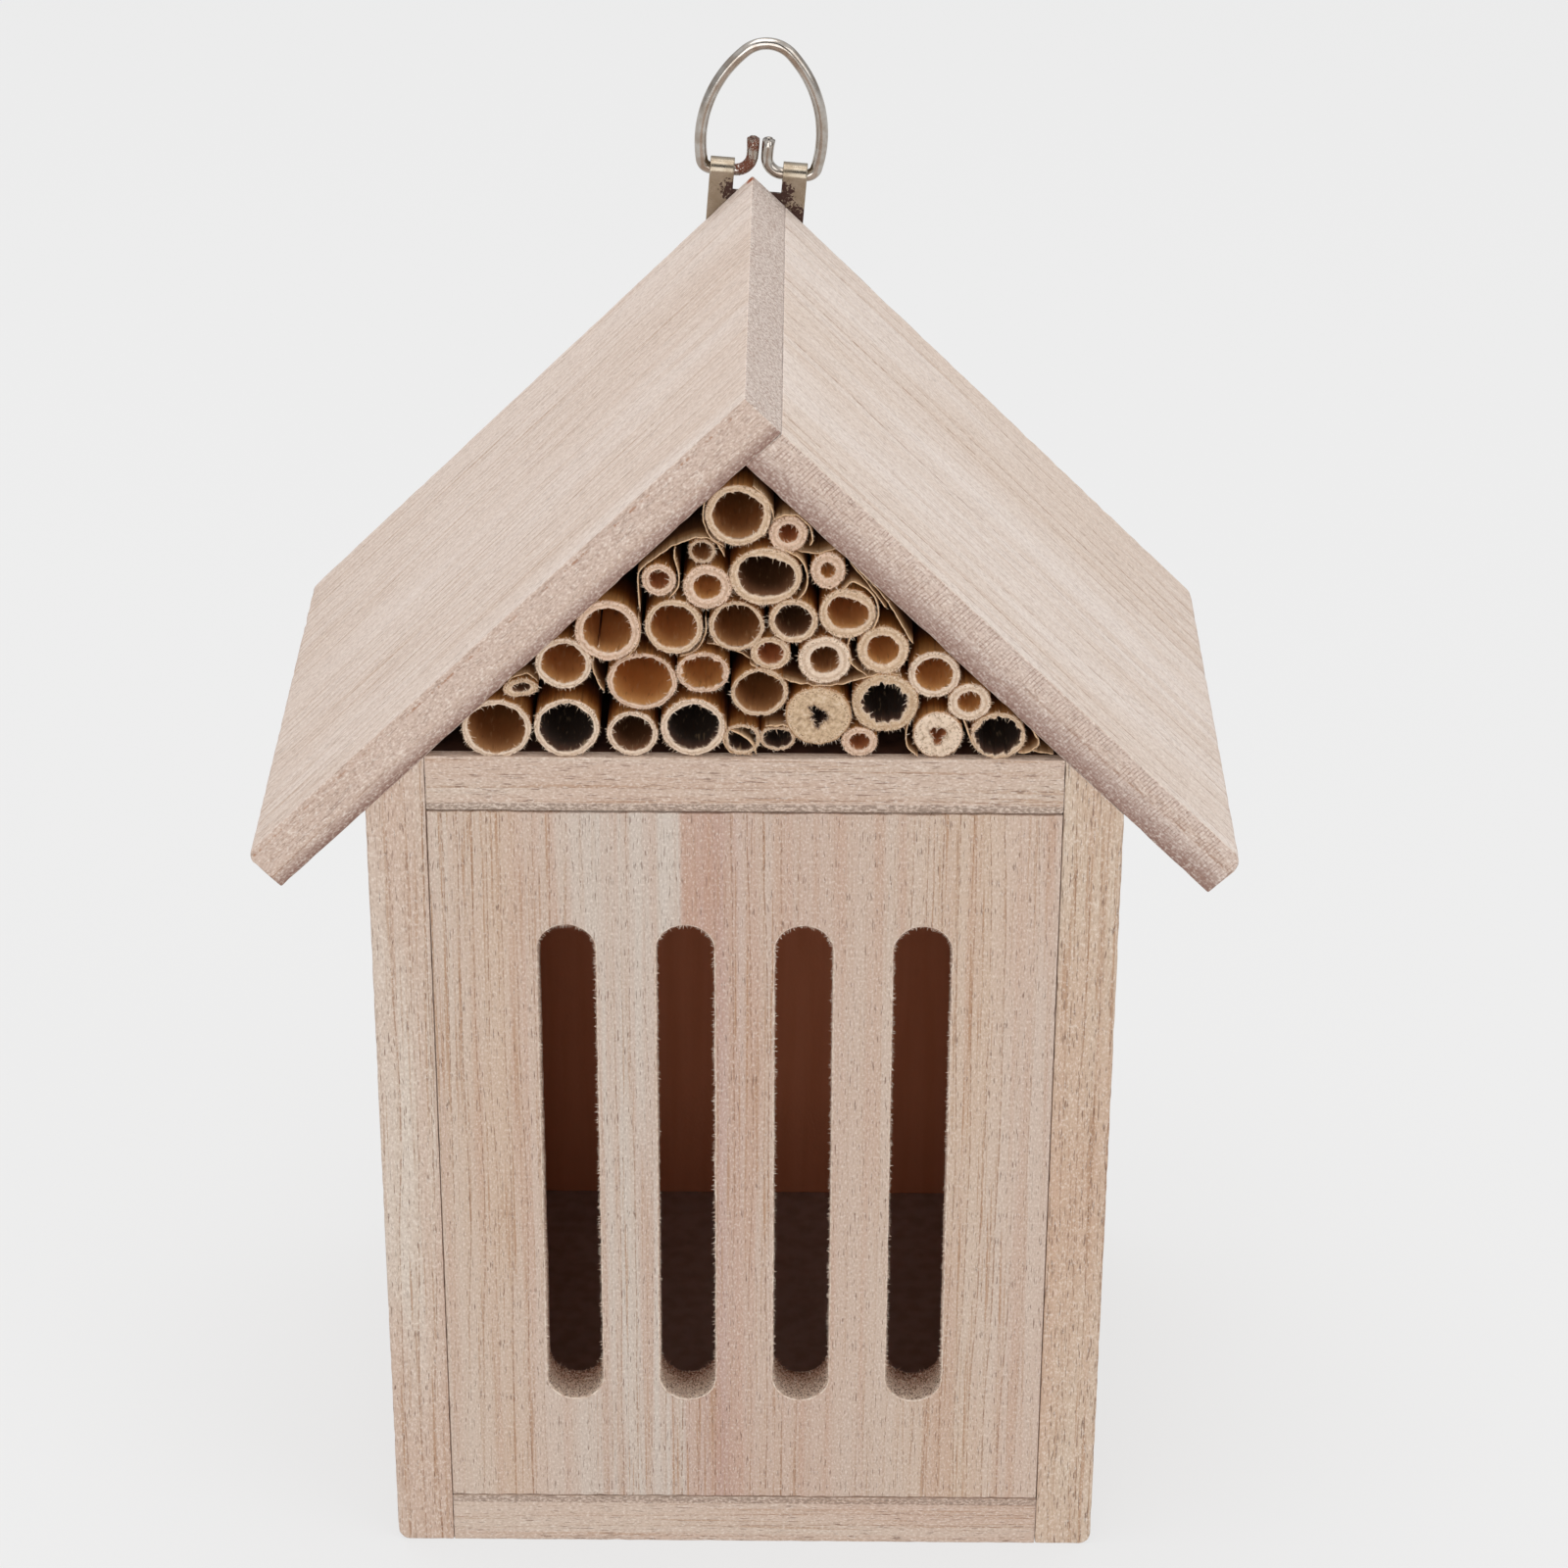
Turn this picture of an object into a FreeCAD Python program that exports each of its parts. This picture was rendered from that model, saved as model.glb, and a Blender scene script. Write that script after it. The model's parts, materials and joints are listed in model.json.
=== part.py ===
"""Insect hotel: a small wooden nesting house for bees and lacewings.

A square-ridged roof of two boards sits on a box of two side boards, a floor and a shelf.
The lower chamber has a front panel with four upright slots, the gable above the shelf is
packed with cut reeds, and a wire ring swings in a plate screwed to the back.

Frame, in millimetres: the origin is the centre of the underside, +X is to the right seen
from the front, the front faces -Y and +Z is up.
"""
import FreeCAD, Part

import math
import os

from FreeCAD import Placement, Rotation, Vector

import Sketcher

# Driving dimensions: name, value, meaning.
DIMENSIONS = [
    ("body_width", 150, "box, outside of one side board to the other"),
    ("body_depth", 120, "box and roof, front face to back face"),
    ("ridge_height", 270, "underside to the top of the roof"),
    ("roof_overhang", 24.5, "roof past each side of the box, measured level"),
    ("roof_thickness", 10, "roof boards"),
    ("side_thickness", 12, "side boards"),
    ("floor_thickness", 12, "floor board"),
    ("shelf_thickness", 12, "shelf board"),
    ("front_thickness", 10, "slotted front panel"),
    ("back_thickness", 3, "back panel"),
    ("slot_width", 11.8, "entrance slots"),
    ("slot_pitch", 23.9, "slot centre to slot centre"),
    ("slot_count", 4, "number of slots"),
    ("slot_margin", 26, "slot ends to the floor and to the shelf"),
    ("eave_round", 3, "rounding of the outer eave edges"),
    ("ridge_round", 0.8, "rounding of the ridge edge"),
    ("foot_round", 2.5, "rounding under the side boards"),
    ("pin_radius", 0.6, "headless nailing pins"),
    ("pin_inset", 20, "pins to the front and back of a board"),
    ("wall_pin_length", 24, "pins through the side boards"),
    ("roof_pin_length", 17, "pins through the roof boards"),
    ("back_pin_length", 18, "pins through the back panel"),
    ("pin_sink", 0.4, "pin heads below the surface of the wood"),
    ("edge_pin_share", 0.26, "edge pins from each end of the front panel, share of its height"),
    ("back_pin_spread", 60, "distance between the back pins in the floor and in the shelf"),
    ("reed_length", 110, "cut length of every reed"),
    ("reed_bore_depth", 70, "open bore behind the front end"),
    ("reed_knot", 4, "closed knot behind the open bore"),
    ("reed_bundle_width", 126, "cavity width that the reed list below is laid out for"),
    ("hanger_offset", 1.2, "hanger to the right of the ridge"),
    ("hanger_drop", 0.5, "ring axis below the ridge"),
    ("hanger_tilt", 4.5, "degrees that the hanger leans to the right"),
    ("plate_width", 20.8, "hanger plate"),
    ("plate_thickness", 1, "hanger plate"),
    ("plate_length", 33, "hanger plate below the ring axis"),
    ("plate_corner", 3, "rounding of the plate's lower corners"),
    ("notch_width", 10.4, "notch between the two fingers"),
    ("notch_depth", 3.7, "notch below the ring axis"),
    ("finger_wrap", 240, "degrees that the fingers curl round the wire"),
    ("wire_radius", 1.3, "ring wire"),
    ("wire_clearance", 0.3, "between the wire and the inside of a finger"),
    ("ring_half_width", 12.9, "axis of the wire at the ring's widest place"),
    ("ring_wide_height", 7.5, "height of the widest place above the ring axis"),
    ("ring_height", 28.6, "axis of the wire at the top of the ring"),
    ("ring_top_radius", 7, "bend at the top of the ring"),
    ("ring_corner_radius", 2.2, "bends at the foot of the ring"),
    ("ring_end_gap", 3.1, "between the axes of the two upturned wire ends"),
    ("ring_end_bend", 3.6, "bend into each upturned end"),
    ("ring_end_height", 7.3, "tips of the wire ends above the ring axis"),
    ("screw_upper_drop", 17, "upper hanger screw below the ring axis"),
    ("screw_lower_drop", 25.5, "lower hanger screw below the ring axis"),
    ("screw_head_radius", 2.8, "pan heads"),
    ("screw_head_height", 1.8, "pan heads"),
    ("screw_shank_radius", 1.25, "screw shanks"),
    ("screw_length", 8, "screws under the head"),
    ("screw_point", 2, "tapered tip of each screw"),
    ("screw_tip_radius", 0.25, "blunt end of each screw's tip"),
    ("screw_head_round", 1.1, "rounding of the pan heads"),
]

# The reeds, row by row from the top: centre to the right of the ridge, centre above the
# shelf, outer radius, bore radius, and how far the cut end stands back from the front.
REEDS = [
    (-1.3, 52.2, 6.2, 4.7, 0.5),
    (8.3, 48.3, 3.5, 1.9, 1.5),
    (-8.2, 44.3, 2.5, 1.7, 3.0),
    (-16.5, 38.4, 3.4, 2.0, 1.0),
    (-7.2, 36.9, 4.6, 2.7, 1.0),
    (4.0, 39.3, 5.9, 4.6, 0.5),
    (16.0, 40.5, 3.5, 1.7, 2.0),
    (-26.5, 27.5, 6.1, 4.7, 0.5),
    (-13.7, 28.3, 5.6, 4.5, 1.5),
    (-1.6, 28.6, 5.2, 4.4, 1.0),
    (9.4, 29.8, 4.6, 3.4, 0.5),
    (19.8, 31.4, 5.2, 3.7, 1.5),
    (-35.2, 20.2, 5.1, 4.2, 1.0),
    (-20.0, 16.3, 6.2, 5.2, 2.0),
    (-8.1, 18.5, 4.7, 3.6, 1.0),
    (5.0, 22.6, 3.4, 2.3, 2.0),
    (15.5, 21.4, 4.9, 2.9, 0.5),
    (26.8, 23.6, 4.9, 3.1, 1.0),
    (-43.3, 14.8, 2.1, 1.2, 2.5),
    (2.9, 14.3, 5.0, 4.2, 0.5),
    (36.8, 18.3, 4.8, 3.5, 1.5),
    (43.8, 12.3, 4.1, 2.4, 1.0),
    (-48.6, 5.8, 5.6, 4.8, 1.0),
    (-34.8, 6.2, 6.0, 5.0, 0.5),
    (-22.0, 4.9, 4.7, 3.7, 1.5),
    (-10.1, 6.5, 6.2, 4.9, 0.5),
    (-0.5, 4.0, 3.2, 1.6, 1.5),
    (6.4, 4.0, 2.8, 1.4, 3.0),
    (14.4, 9.2, 6.3, 2.6, 0.5),
    (22.5, 3.4, 3.0, 1.9, 1.5),
    (27.4, 12.0, 6.3, 4.3, 1.0),
    (37.8, 5.2, 5.0, 1.2, 0.5),
    (49.6, 5.0, 4.8, 3.9, 1.0),
]

# Worked-out sizes: name and sheet formula. The roof rises at 45 degrees on both sides.
DERIVED = [
    ("front_face", "=-body_depth / 2"),
    ("back_face", "=body_depth / 2"),
    ("board_depth", "=body_depth - back_thickness"),
    ("board_back", "=back_face - back_thickness"),
    ("half_width", "=body_width / 2"),
    ("half_inner", "=half_width - side_thickness"),
    ("roof_slant", "=(half_width + roof_overhang) * sqrt(2)"),
    ("underside_apex", "=ridge_height - roof_thickness * sqrt(2)"),
    ("side_top_outer", "=underside_apex - half_width"),
    ("shelf_top", "=underside_apex - half_inner"),
    ("shelf_bottom", "=shelf_top - shelf_thickness"),
    ("shelf_middle", "=shelf_top - shelf_thickness / 2"),
    ("floor_middle", "=floor_thickness / 2"),
    ("side_middle", "=half_width - side_thickness / 2"),
    ("bevel_middle", "=underside_apex - side_middle"),
    ("panel_height", "=shelf_bottom - floor_thickness"),
    ("edge_pin_low", "=floor_thickness + panel_height * edge_pin_share"),
    ("edge_pin_high", "=shelf_bottom - panel_height * edge_pin_share"),
    ("wall_pin_reach", "=wall_pin_length + pin_sink"),
    ("roof_pin_reach", "=roof_pin_length + pin_sink"),
    ("back_pin_reach", "=back_pin_length + pin_sink"),
    ("slot_bottom", "=floor_thickness + slot_margin"),
    ("slot_top", "=shelf_bottom - slot_margin"),
    ("first_slot", "=-slot_pitch * (slot_count - 1) / 2"),
    ("pin_front", "=front_face + pin_inset"),
    ("pin_back", "=back_face - pin_inset"),
    ("front_middle", "=front_face + front_thickness / 2"),
    ("roof_pin_slant", "=side_middle * sqrt(2) + roof_thickness"),
    ("reed_fit", "=2 * half_inner / reed_bundle_width"),
    ("reed_rear_start", "=reed_bore_depth + reed_knot"),
    ("finger_inner", "=wire_radius + wire_clearance"),
    ("finger_outer", "=finger_inner + plate_thickness"),
    ("ring_axis_y", "=back_face + finger_outer"),
    ("ring_axis_z", "=ridge_height - hanger_drop"),
]

# Where the pins go, as pairs of sheet names: front-to-back and up, or across and up.
FLOOR_PIN_PLACES = [("pin_front", "floor_middle"), ("pin_back", "floor_middle")]
FRONT_PIN_PLACES = [("front_middle", "edge_pin_low"), ("front_middle", "edge_pin_high")]
BACK_PIN_ACROSS = ["-back_pin_spread / 2", "back_pin_spread / 2"]
BACK_PIN_PLACES = [(x, z) for x in ("-side_middle", "side_middle")
                   for z in ("edge_pin_low", "edge_pin_high")]
BACK_PIN_PLACES += [(x, z) for x in BACK_PIN_ACROSS for z in ("floor_middle", "shelf_middle")]

ROOF_ANGLE = 45
BORE_OVERRUN = 1.0
SEAM_TOLERANCE = 1e-4
SWEEP_TOLERANCE = 0.01


doc = FreeCAD.newDocument("insect_hotel")
sheet = doc.addObject("Spreadsheet::Sheet", "dims")


def fill_sheet():
    """Write every driving size as a plain number and every worked-out size as a formula."""
    rows = [(name, str(value), note) for name, value, note in DIMENSIONS]
    for index, reed in enumerate(REEDS, start=1):
        for part, value in zip(("across", "height", "radius", "bore", "recess"), reed):
            rows.append((f"reed_{index:02d}_{part}", str(value), f"reed {index}, {part}"))
    rows += [(name, formula, "worked out") for name, formula in DERIVED]
    for row, (name, value, note) in enumerate(rows, start=1):
        sheet.set(f"A{row}", name)
        sheet.set(f"B{row}", value)
        sheet.set(f"C{row}", note)
        sheet.setAlias(f"B{row}", name)
    doc.recompute()


def size(expression):
    """The present value of a sheet expression."""
    return float(sheet.evalExpression(expression))


def bind(thing, **expressions):
    """Bind properties to sheet expressions; a dot in a property's path is written __."""
    for path, expression in expressions.items():
        thing.setExpression(path.replace("__", "."), linked(expression))


def linked(expression):
    """Point every sheet name in an expression at the sheet."""
    words = []
    word = ""
    for character in expression + " ":
        if character.isalnum() or character == "_":
            word += character
            continue
        words.append("dims." + word if word in ALIASES else word)
        words.append(character)
        word = ""
    return "".join(words).strip()


# ---------------------------------------------------------------- sketches and bodies

def new_body(node):
    body = doc.addObject("PartDesign::Body", node)
    body.Label = node
    return body


def origin_plane(body, role):
    return next(item for item in body.Origin.OriginFeatures if item.Role == role)


def new_sketch(body, name, role, offset="0"):
    """A sketch parallel to one of the body's origin planes, offset along its normal."""
    sketch = body.newObject("Sketcher::SketchObject", name)
    sketch.AttachmentSupport = [(origin_plane(body, role), "")]
    sketch.MapMode = "FlatFace"
    bind(sketch, AttachmentOffset__Base__z=offset)
    return sketch


def pin_distance(sketch, kind, geometry, end, expression):
    """Hold one end of a sketch element at a distance from the sketch's origin."""
    index = sketch.addConstraint(
        Sketcher.Constraint(kind, -1, 1, geometry, end, size(expression)))
    sketch.setExpression(f"Constraints[{index}]", linked(expression))


def pin_point(sketch, geometry, end, x, y):
    """Hold one end of a sketch element at a place given by two sheet expressions."""
    pin_distance(sketch, "DistanceX", geometry, end, x)
    pin_distance(sketch, "DistanceY", geometry, end, y)


def draw_polygon(sketch, corners):
    """A closed outline through corners, each a pair of sheet expressions."""
    points = [Vector(size(x), size(y), 0) for x, y in corners]
    count = len(points)
    for index in range(count):
        sketch.addGeometry(Part.LineSegment(points[index], points[(index + 1) % count]))
    for index in range(count):
        sketch.addConstraint(
            Sketcher.Constraint("Coincident", index, 2, (index + 1) % count, 1))
        pin_point(sketch, index, 1, *corners[index])


def draw_circles(sketch, centres, radius):
    """Equal circles at centres, each a pair of sheet expressions."""
    for x, y in centres:
        centre = Vector(size(x), size(y), 0)
        index = sketch.addGeometry(Part.Circle(centre, Vector(0, 0, 1), size(radius)))
        pin_point(sketch, index, 3, x, y)
        fixed = sketch.addConstraint(Sketcher.Constraint("Radius", index, size(radius)))
        sketch.setExpression(f"Constraints[{fixed}]", linked(radius))


def draw_upright_slot(sketch, x, bottom, top, width):
    """An upright slot with round ends, centred on x."""
    radius = size(width) / 2
    low = Vector(size(x), size(bottom) + radius, 0)
    high = Vector(size(x), size(top) - radius, 0)
    side = Vector(radius, 0, 0)
    up = Vector(0, radius, 0)
    sketch.addGeometry(Part.LineSegment(low + side, high + side))
    sketch.addGeometry(Part.Arc(high + side, high + up, high - side))
    sketch.addGeometry(Part.LineSegment(high - side, low - side))
    sketch.addGeometry(Part.Arc(low - side, low - up, low + side))
    sketch.addConstraint(Sketcher.Constraint("Tangent", 0, 2, 1, 1))
    sketch.addConstraint(Sketcher.Constraint("Tangent", 1, 2, 2, 1))
    sketch.addConstraint(Sketcher.Constraint("Tangent", 2, 2, 3, 1))
    sketch.addConstraint(Sketcher.Constraint("Tangent", 3, 2, 0, 1))
    sketch.addConstraint(Sketcher.Constraint("Vertical", 0))
    pin_point(sketch, 1, 3, x, f"{top} - {width} / 2")
    pin_distance(sketch, "DistanceY", 3, 3, f"{bottom} + {width} / 2")
    index = sketch.addConstraint(Sketcher.Constraint("Radius", 1, radius))
    sketch.setExpression(f"Constraints[{index}]", linked(f"{width} / 2"))


def pad(body, sketch, length, backwards=False):
    feature = body.newObject("PartDesign::Pad", sketch.Name + "_pad")
    feature.Profile = sketch
    feature.Reversed = backwards
    bind(feature, Length=length)
    doc.recompute()
    return feature


def pocket(body, sketch, depth, backwards=False):
    """Cut a sketch into the body, and make sure that it took material away."""
    before = body.Shape.Volume
    feature = body.newObject("PartDesign::Pocket", sketch.Name + "_pocket")
    feature.Profile = sketch
    feature.Reversed = backwards
    bind(feature, Length=depth)
    doc.recompute()
    if body.Shape.Volume >= before - SEAM_TOLERANCE:
        raise RuntimeError(f"{feature.Name} cuts nothing")
    return feature


def round_edges(body, name, radius, chosen):
    """Round every edge of the body for which chosen(middle, direction) is true."""
    base = body.Tip
    names = []
    for index, edge in enumerate(base.Shape.Edges, start=1):
        if edge.Curve.TypeId != "Part::GeomLine":
            continue
        middle = edge.valueAt((edge.FirstParameter + edge.LastParameter) / 2)
        if chosen(middle, edge.tangentAt(edge.FirstParameter)):
            names.append(f"Edge{index}")
    feature = body.newObject("PartDesign::Fillet", name)
    feature.Base = (base, names)
    bind(feature, Radius=radius)
    doc.recompute()
    return feature


def near(value, target):
    return abs(value - target) < SEAM_TOLERANCE


# ---------------------------------------------------------------- boards

def make_side_board(node, side):
    """A side board with a 45 degree top; side is -1 for the left one and 1 for the right."""
    body = new_body(node)
    outer = f"{side} * half_width"
    inner = f"{side} * half_inner"
    outline = new_sketch(body, node + "_outline", "XZ_Plane", "-front_face")
    draw_polygon(outline, [(outer, "0"), (inner, "0"), (inner, "shelf_top"),
                           (outer, "side_top_outer")])
    pad(body, outline, "board_depth", backwards=True)

    wall_pins = new_sketch(body, node + "_wall_pins", "YZ_Plane", outer)
    draw_circles(wall_pins, FLOOR_PIN_PLACES + FRONT_PIN_PLACES, "pin_radius")
    pocket(body, wall_pins, "side_thickness", backwards=side < 0)

    back_pins = new_sketch(body, node + "_back_pins", "XZ_Plane", "-board_back")
    draw_circles(back_pins, [(f"{side} * side_middle", z)
                             for z in ("edge_pin_low", "edge_pin_high")], "pin_radius")
    pocket(body, back_pins, "back_pin_reach - back_thickness", backwards=True)

    roof_pins = new_sketch(body, node + "_roof_pins", "YZ_Plane", f"{side} * side_middle")
    tilt = -ROOF_ANGLE if side > 0 else ROOF_ANGLE
    roof_pins.AttachmentOffset = Placement(
        roof_pins.AttachmentOffset.Base, Rotation(Vector(1, 0, 0), tilt))
    bind(roof_pins, AttachmentOffset__Base__y="bevel_middle",
         AttachmentOffset__Base__z=f"{side} * side_middle")
    draw_circles(roof_pins, [("pin_front", "0"), ("pin_back", "0")], "pin_radius")
    pocket(body, roof_pins, "roof_pin_reach - roof_thickness", backwards=side < 0)

    foot = side * size("half_width")
    round_edges(body, node + "_foot", "foot_round",
                lambda middle, way: near(middle.x, foot) and near(middle.z, 0))
    return body


def drill_ends(body, name, places):
    """Blind pin holes in both ends of a board that lies between the side boards."""
    sketch = new_sketch(body, name, "YZ_Plane", "half_inner")
    draw_circles(sketch, places, "pin_radius")
    right = pocket(body, sketch, "wall_pin_reach - side_thickness")
    mirror = body.newObject("PartDesign::Mirrored", name + "_mirrored")
    mirror.Originals = [right]
    mirror.MirrorPlane = (origin_plane(body, "YZ_Plane"), [""])
    body.Tip = mirror
    doc.recompute()


def make_cross_board(node, bottom, thickness, middle):
    """A board that lies between the side boards, pinned from the back: floor or shelf."""
    body = new_body(node)
    outline = new_sketch(body, node + "_outline", "XZ_Plane", "-front_face")
    top = f"{bottom} + {thickness}"
    draw_polygon(outline, [("-half_inner", bottom), ("half_inner", bottom),
                           ("half_inner", top), ("-half_inner", top)])
    pad(body, outline, "board_depth", backwards=True)
    back_pins = new_sketch(body, node + "_back_pins", "XZ_Plane", "-board_back")
    draw_circles(back_pins, [(x, middle) for x in BACK_PIN_ACROSS], "pin_radius")
    pocket(body, back_pins, "back_pin_reach - back_thickness", backwards=True)
    return body


def make_floor_board():
    body = make_cross_board("floor_board", "0", "floor_thickness", "floor_middle")
    drill_ends(body, "floor_end_pins", FLOOR_PIN_PLACES)
    return body


def make_shelf_board():
    return make_cross_board("shelf_board", "shelf_bottom", "shelf_thickness", "shelf_middle")


def make_front_panel():
    """The front of the lower chamber, with its row of upright slots."""
    body = new_body("front_panel")
    outline = new_sketch(body, "front_outline", "XZ_Plane", "-front_face")
    draw_polygon(outline, [("-half_inner", "floor_thickness"),
                           ("half_inner", "floor_thickness"),
                           ("half_inner", "shelf_bottom"), ("-half_inner", "shelf_bottom")])
    pad(body, outline, "front_thickness", backwards=True)
    slot = new_sketch(body, "front_slot", "XZ_Plane", "-front_face")
    draw_upright_slot(slot, "first_slot", "slot_bottom", "slot_top", "slot_width")
    cut = pocket(body, slot, "front_thickness")
    row = body.newObject("PartDesign::LinearPattern", "slot_row")
    row.Originals = [cut]
    row.Direction = (slot, ["H_Axis"])
    bind(row, Length="slot_pitch * (slot_count - 1)", Occurrences="slot_count")
    body.Tip = row
    doc.recompute()
    drill_ends(body, "front_end_pins", FRONT_PIN_PLACES)
    return body


def make_back_panel():
    """The gable-shaped back, with holes for its pins and for the hanger's screws."""
    body = new_body("back_panel")
    outline = new_sketch(body, "back_outline", "XZ_Plane", "-board_back")
    draw_polygon(outline, [("-half_width", "0"), ("half_width", "0"),
                           ("half_width", "side_top_outer"), ("0", "underside_apex"),
                           ("-half_width", "side_top_outer")])
    pad(body, outline, "back_thickness", backwards=True)
    pins = new_sketch(body, "back_panel_pins", "XZ_Plane", "-back_face")
    draw_circles(pins, BACK_PIN_PLACES, "pin_radius")
    pocket(body, pins, "back_thickness", backwards=True)
    screws = new_sketch(body, "back_panel_screws", "XZ_Plane", "-back_face")
    draw_circles(screws, [hanger_point(drop) for drop in ("screw_upper_drop",
                                                          "screw_lower_drop")],
                 "screw_shank_radius")
    pocket(body, screws, "back_thickness", backwards=True)
    return body


def make_roof_board(node, upper, lower, tilt):
    """A roof board, drawn flat from its upper to its lower end and then tilted."""
    body = new_body(node)
    outline = new_sketch(body, node + "_outline", "XY_Plane", "-roof_thickness")
    draw_polygon(outline, [(lower, "front_face"), (upper, "front_face"),
                           (upper, "back_face"), (lower, "back_face")])
    pad(body, outline, "roof_thickness")
    pins = new_sketch(body, node + "_pins", "XY_Plane")
    place = "roof_pin_slant" if tilt > 0 else "-roof_pin_slant"
    draw_circles(pins, [(place, "pin_front"), (place, "pin_back")], "pin_radius")
    pocket(body, pins, "roof_thickness")
    eave = size(lower)
    round_edges(body, node + "_eave", "eave_round",
                lambda middle, way: near(middle.x, eave) and near(middle.z, 0))
    if near(size(upper), 0):
        round_edges(body, node + "_ridge", "ridge_round",
                    lambda middle, way: near(middle.x, 0) and near(middle.z, 0))
    body.Placement = Placement(Vector(), Rotation(Vector(0, 1, 0), tilt))
    bind(body, Placement__Base__z="ridge_height")
    return body


# ---------------------------------------------------------------- pins and screws

def make_cylinder(name, radius, length, axis, angle, place):
    """A cylinder turned by an angle about an axis, at a place of three expressions."""
    cylinder = doc.addObject("Part::Cylinder", name)
    cylinder.Placement = Placement(Vector(), Rotation(axis, angle))
    bind(cylinder, Radius=radius, Height=length, Placement__Base__x=place[0],
         Placement__Base__y=place[1], Placement__Base__z=place[2])
    return cylinder


def make_group(node, pieces):
    """One node that holds equal, separate pieces."""
    group = doc.addObject("Part::Compound", node)
    group.Label = node
    group.Links = pieces
    return group


def make_wall_pins():
    pins = []
    starts = {"left": "-half_width + pin_sink", "right": "half_width - wall_pin_reach"}
    for side, start in starts.items():
        for y, z in FLOOR_PIN_PLACES + FRONT_PIN_PLACES:
            name = f"wall_pin_{side}_{len(pins) + 1}"
            pins.append(make_cylinder(name, "pin_radius", "wall_pin_length",
                                      Vector(0, 1, 0), 90, (start, y, z)))
    return make_group("wall_pins", pins)


def make_roof_pins():
    pins = []
    across = "(roof_pin_slant - roof_pin_reach) / sqrt(2)"
    height = "ridge_height - (roof_pin_slant + roof_pin_reach) / sqrt(2)"
    for side in (-1, 1):
        for y in ("pin_front", "pin_back"):
            name = f"roof_pin_{len(pins) + 1}"
            pins.append(make_cylinder(name, "pin_radius", "roof_pin_length",
                                      Vector(0, 1, 0), side * ROOF_ANGLE,
                                      (f"{side} * {across}", y, height)))
    return make_group("roof_pins", pins)


def make_back_pins():
    pins = []
    for x, z in BACK_PIN_PLACES:
        name = f"back_pin_{len(pins) + 1}"
        pins.append(make_cylinder(name, "pin_radius", "back_pin_length",
                                  Vector(1, 0, 0), 90,
                                  (x, "back_face - pin_sink", z)))
    return make_group("back_pins", pins)


def hanger_point(drop):
    """A place on the hanger's centre line, below the ring axis, as two expressions."""
    return (f"hanger_offset - {drop} * sin(hanger_tilt)",
            f"ring_axis_z - {drop} * cos(hanger_tilt)")


def make_screw(name, drop):
    """A pan head screw that points at the front, made as a turned profile."""
    head = doc.addObject("Part::Cylinder", name + "_head")
    bind(head, Radius="screw_head_radius", Height="screw_head_height")
    doc.recompute()
    pan = doc.addObject("Part::Fillet", name + "_pan")
    pan.Base = head
    rim = next(index for index, edge in enumerate(head.Shape.Edges, start=1)
               if edge.Closed and near(edge.CenterOfMass.z, size("screw_head_height")))
    pan_round = size("screw_head_round")
    pan.Edges = [(rim, pan_round, pan_round)]
    shank = doc.addObject("Part::Cylinder", name + "_shank")
    bind(shank, Radius="screw_shank_radius", Height="screw_length - screw_point",
         Placement__Base__z="screw_point - screw_length")
    tip = doc.addObject("Part::Cone", name + "_tip")
    bind(tip, Radius1="screw_tip_radius", Radius2="screw_shank_radius",
         Height="screw_point", Placement__Base__z="-screw_length")
    screw = doc.addObject("Part::MultiFuse", name)
    screw.Shapes = [pan, shank, tip]
    screw.Placement = Placement(Vector(), Rotation(Vector(1, 0, 0), -90))
    x, z = hanger_point(drop)
    bind(screw, Placement__Base__x=x, Placement__Base__y="back_face + plate_thickness",
         Placement__Base__z=z)
    return screw


# ---------------------------------------------------------------- hanger

def place_on_hanger(thing):
    """Put a piece drawn about the ring axis where the hanger is, leaning to the right."""
    thing.Placement = Placement(Vector(), Rotation(Vector(0, 1, 0), size("hanger_tilt")))
    bind(thing, Placement__Base__x="hanger_offset", Placement__Base__y="ring_axis_y",
         Placement__Base__z="ring_axis_z", Placement__Rotation__Angle="hanger_tilt")


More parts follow.
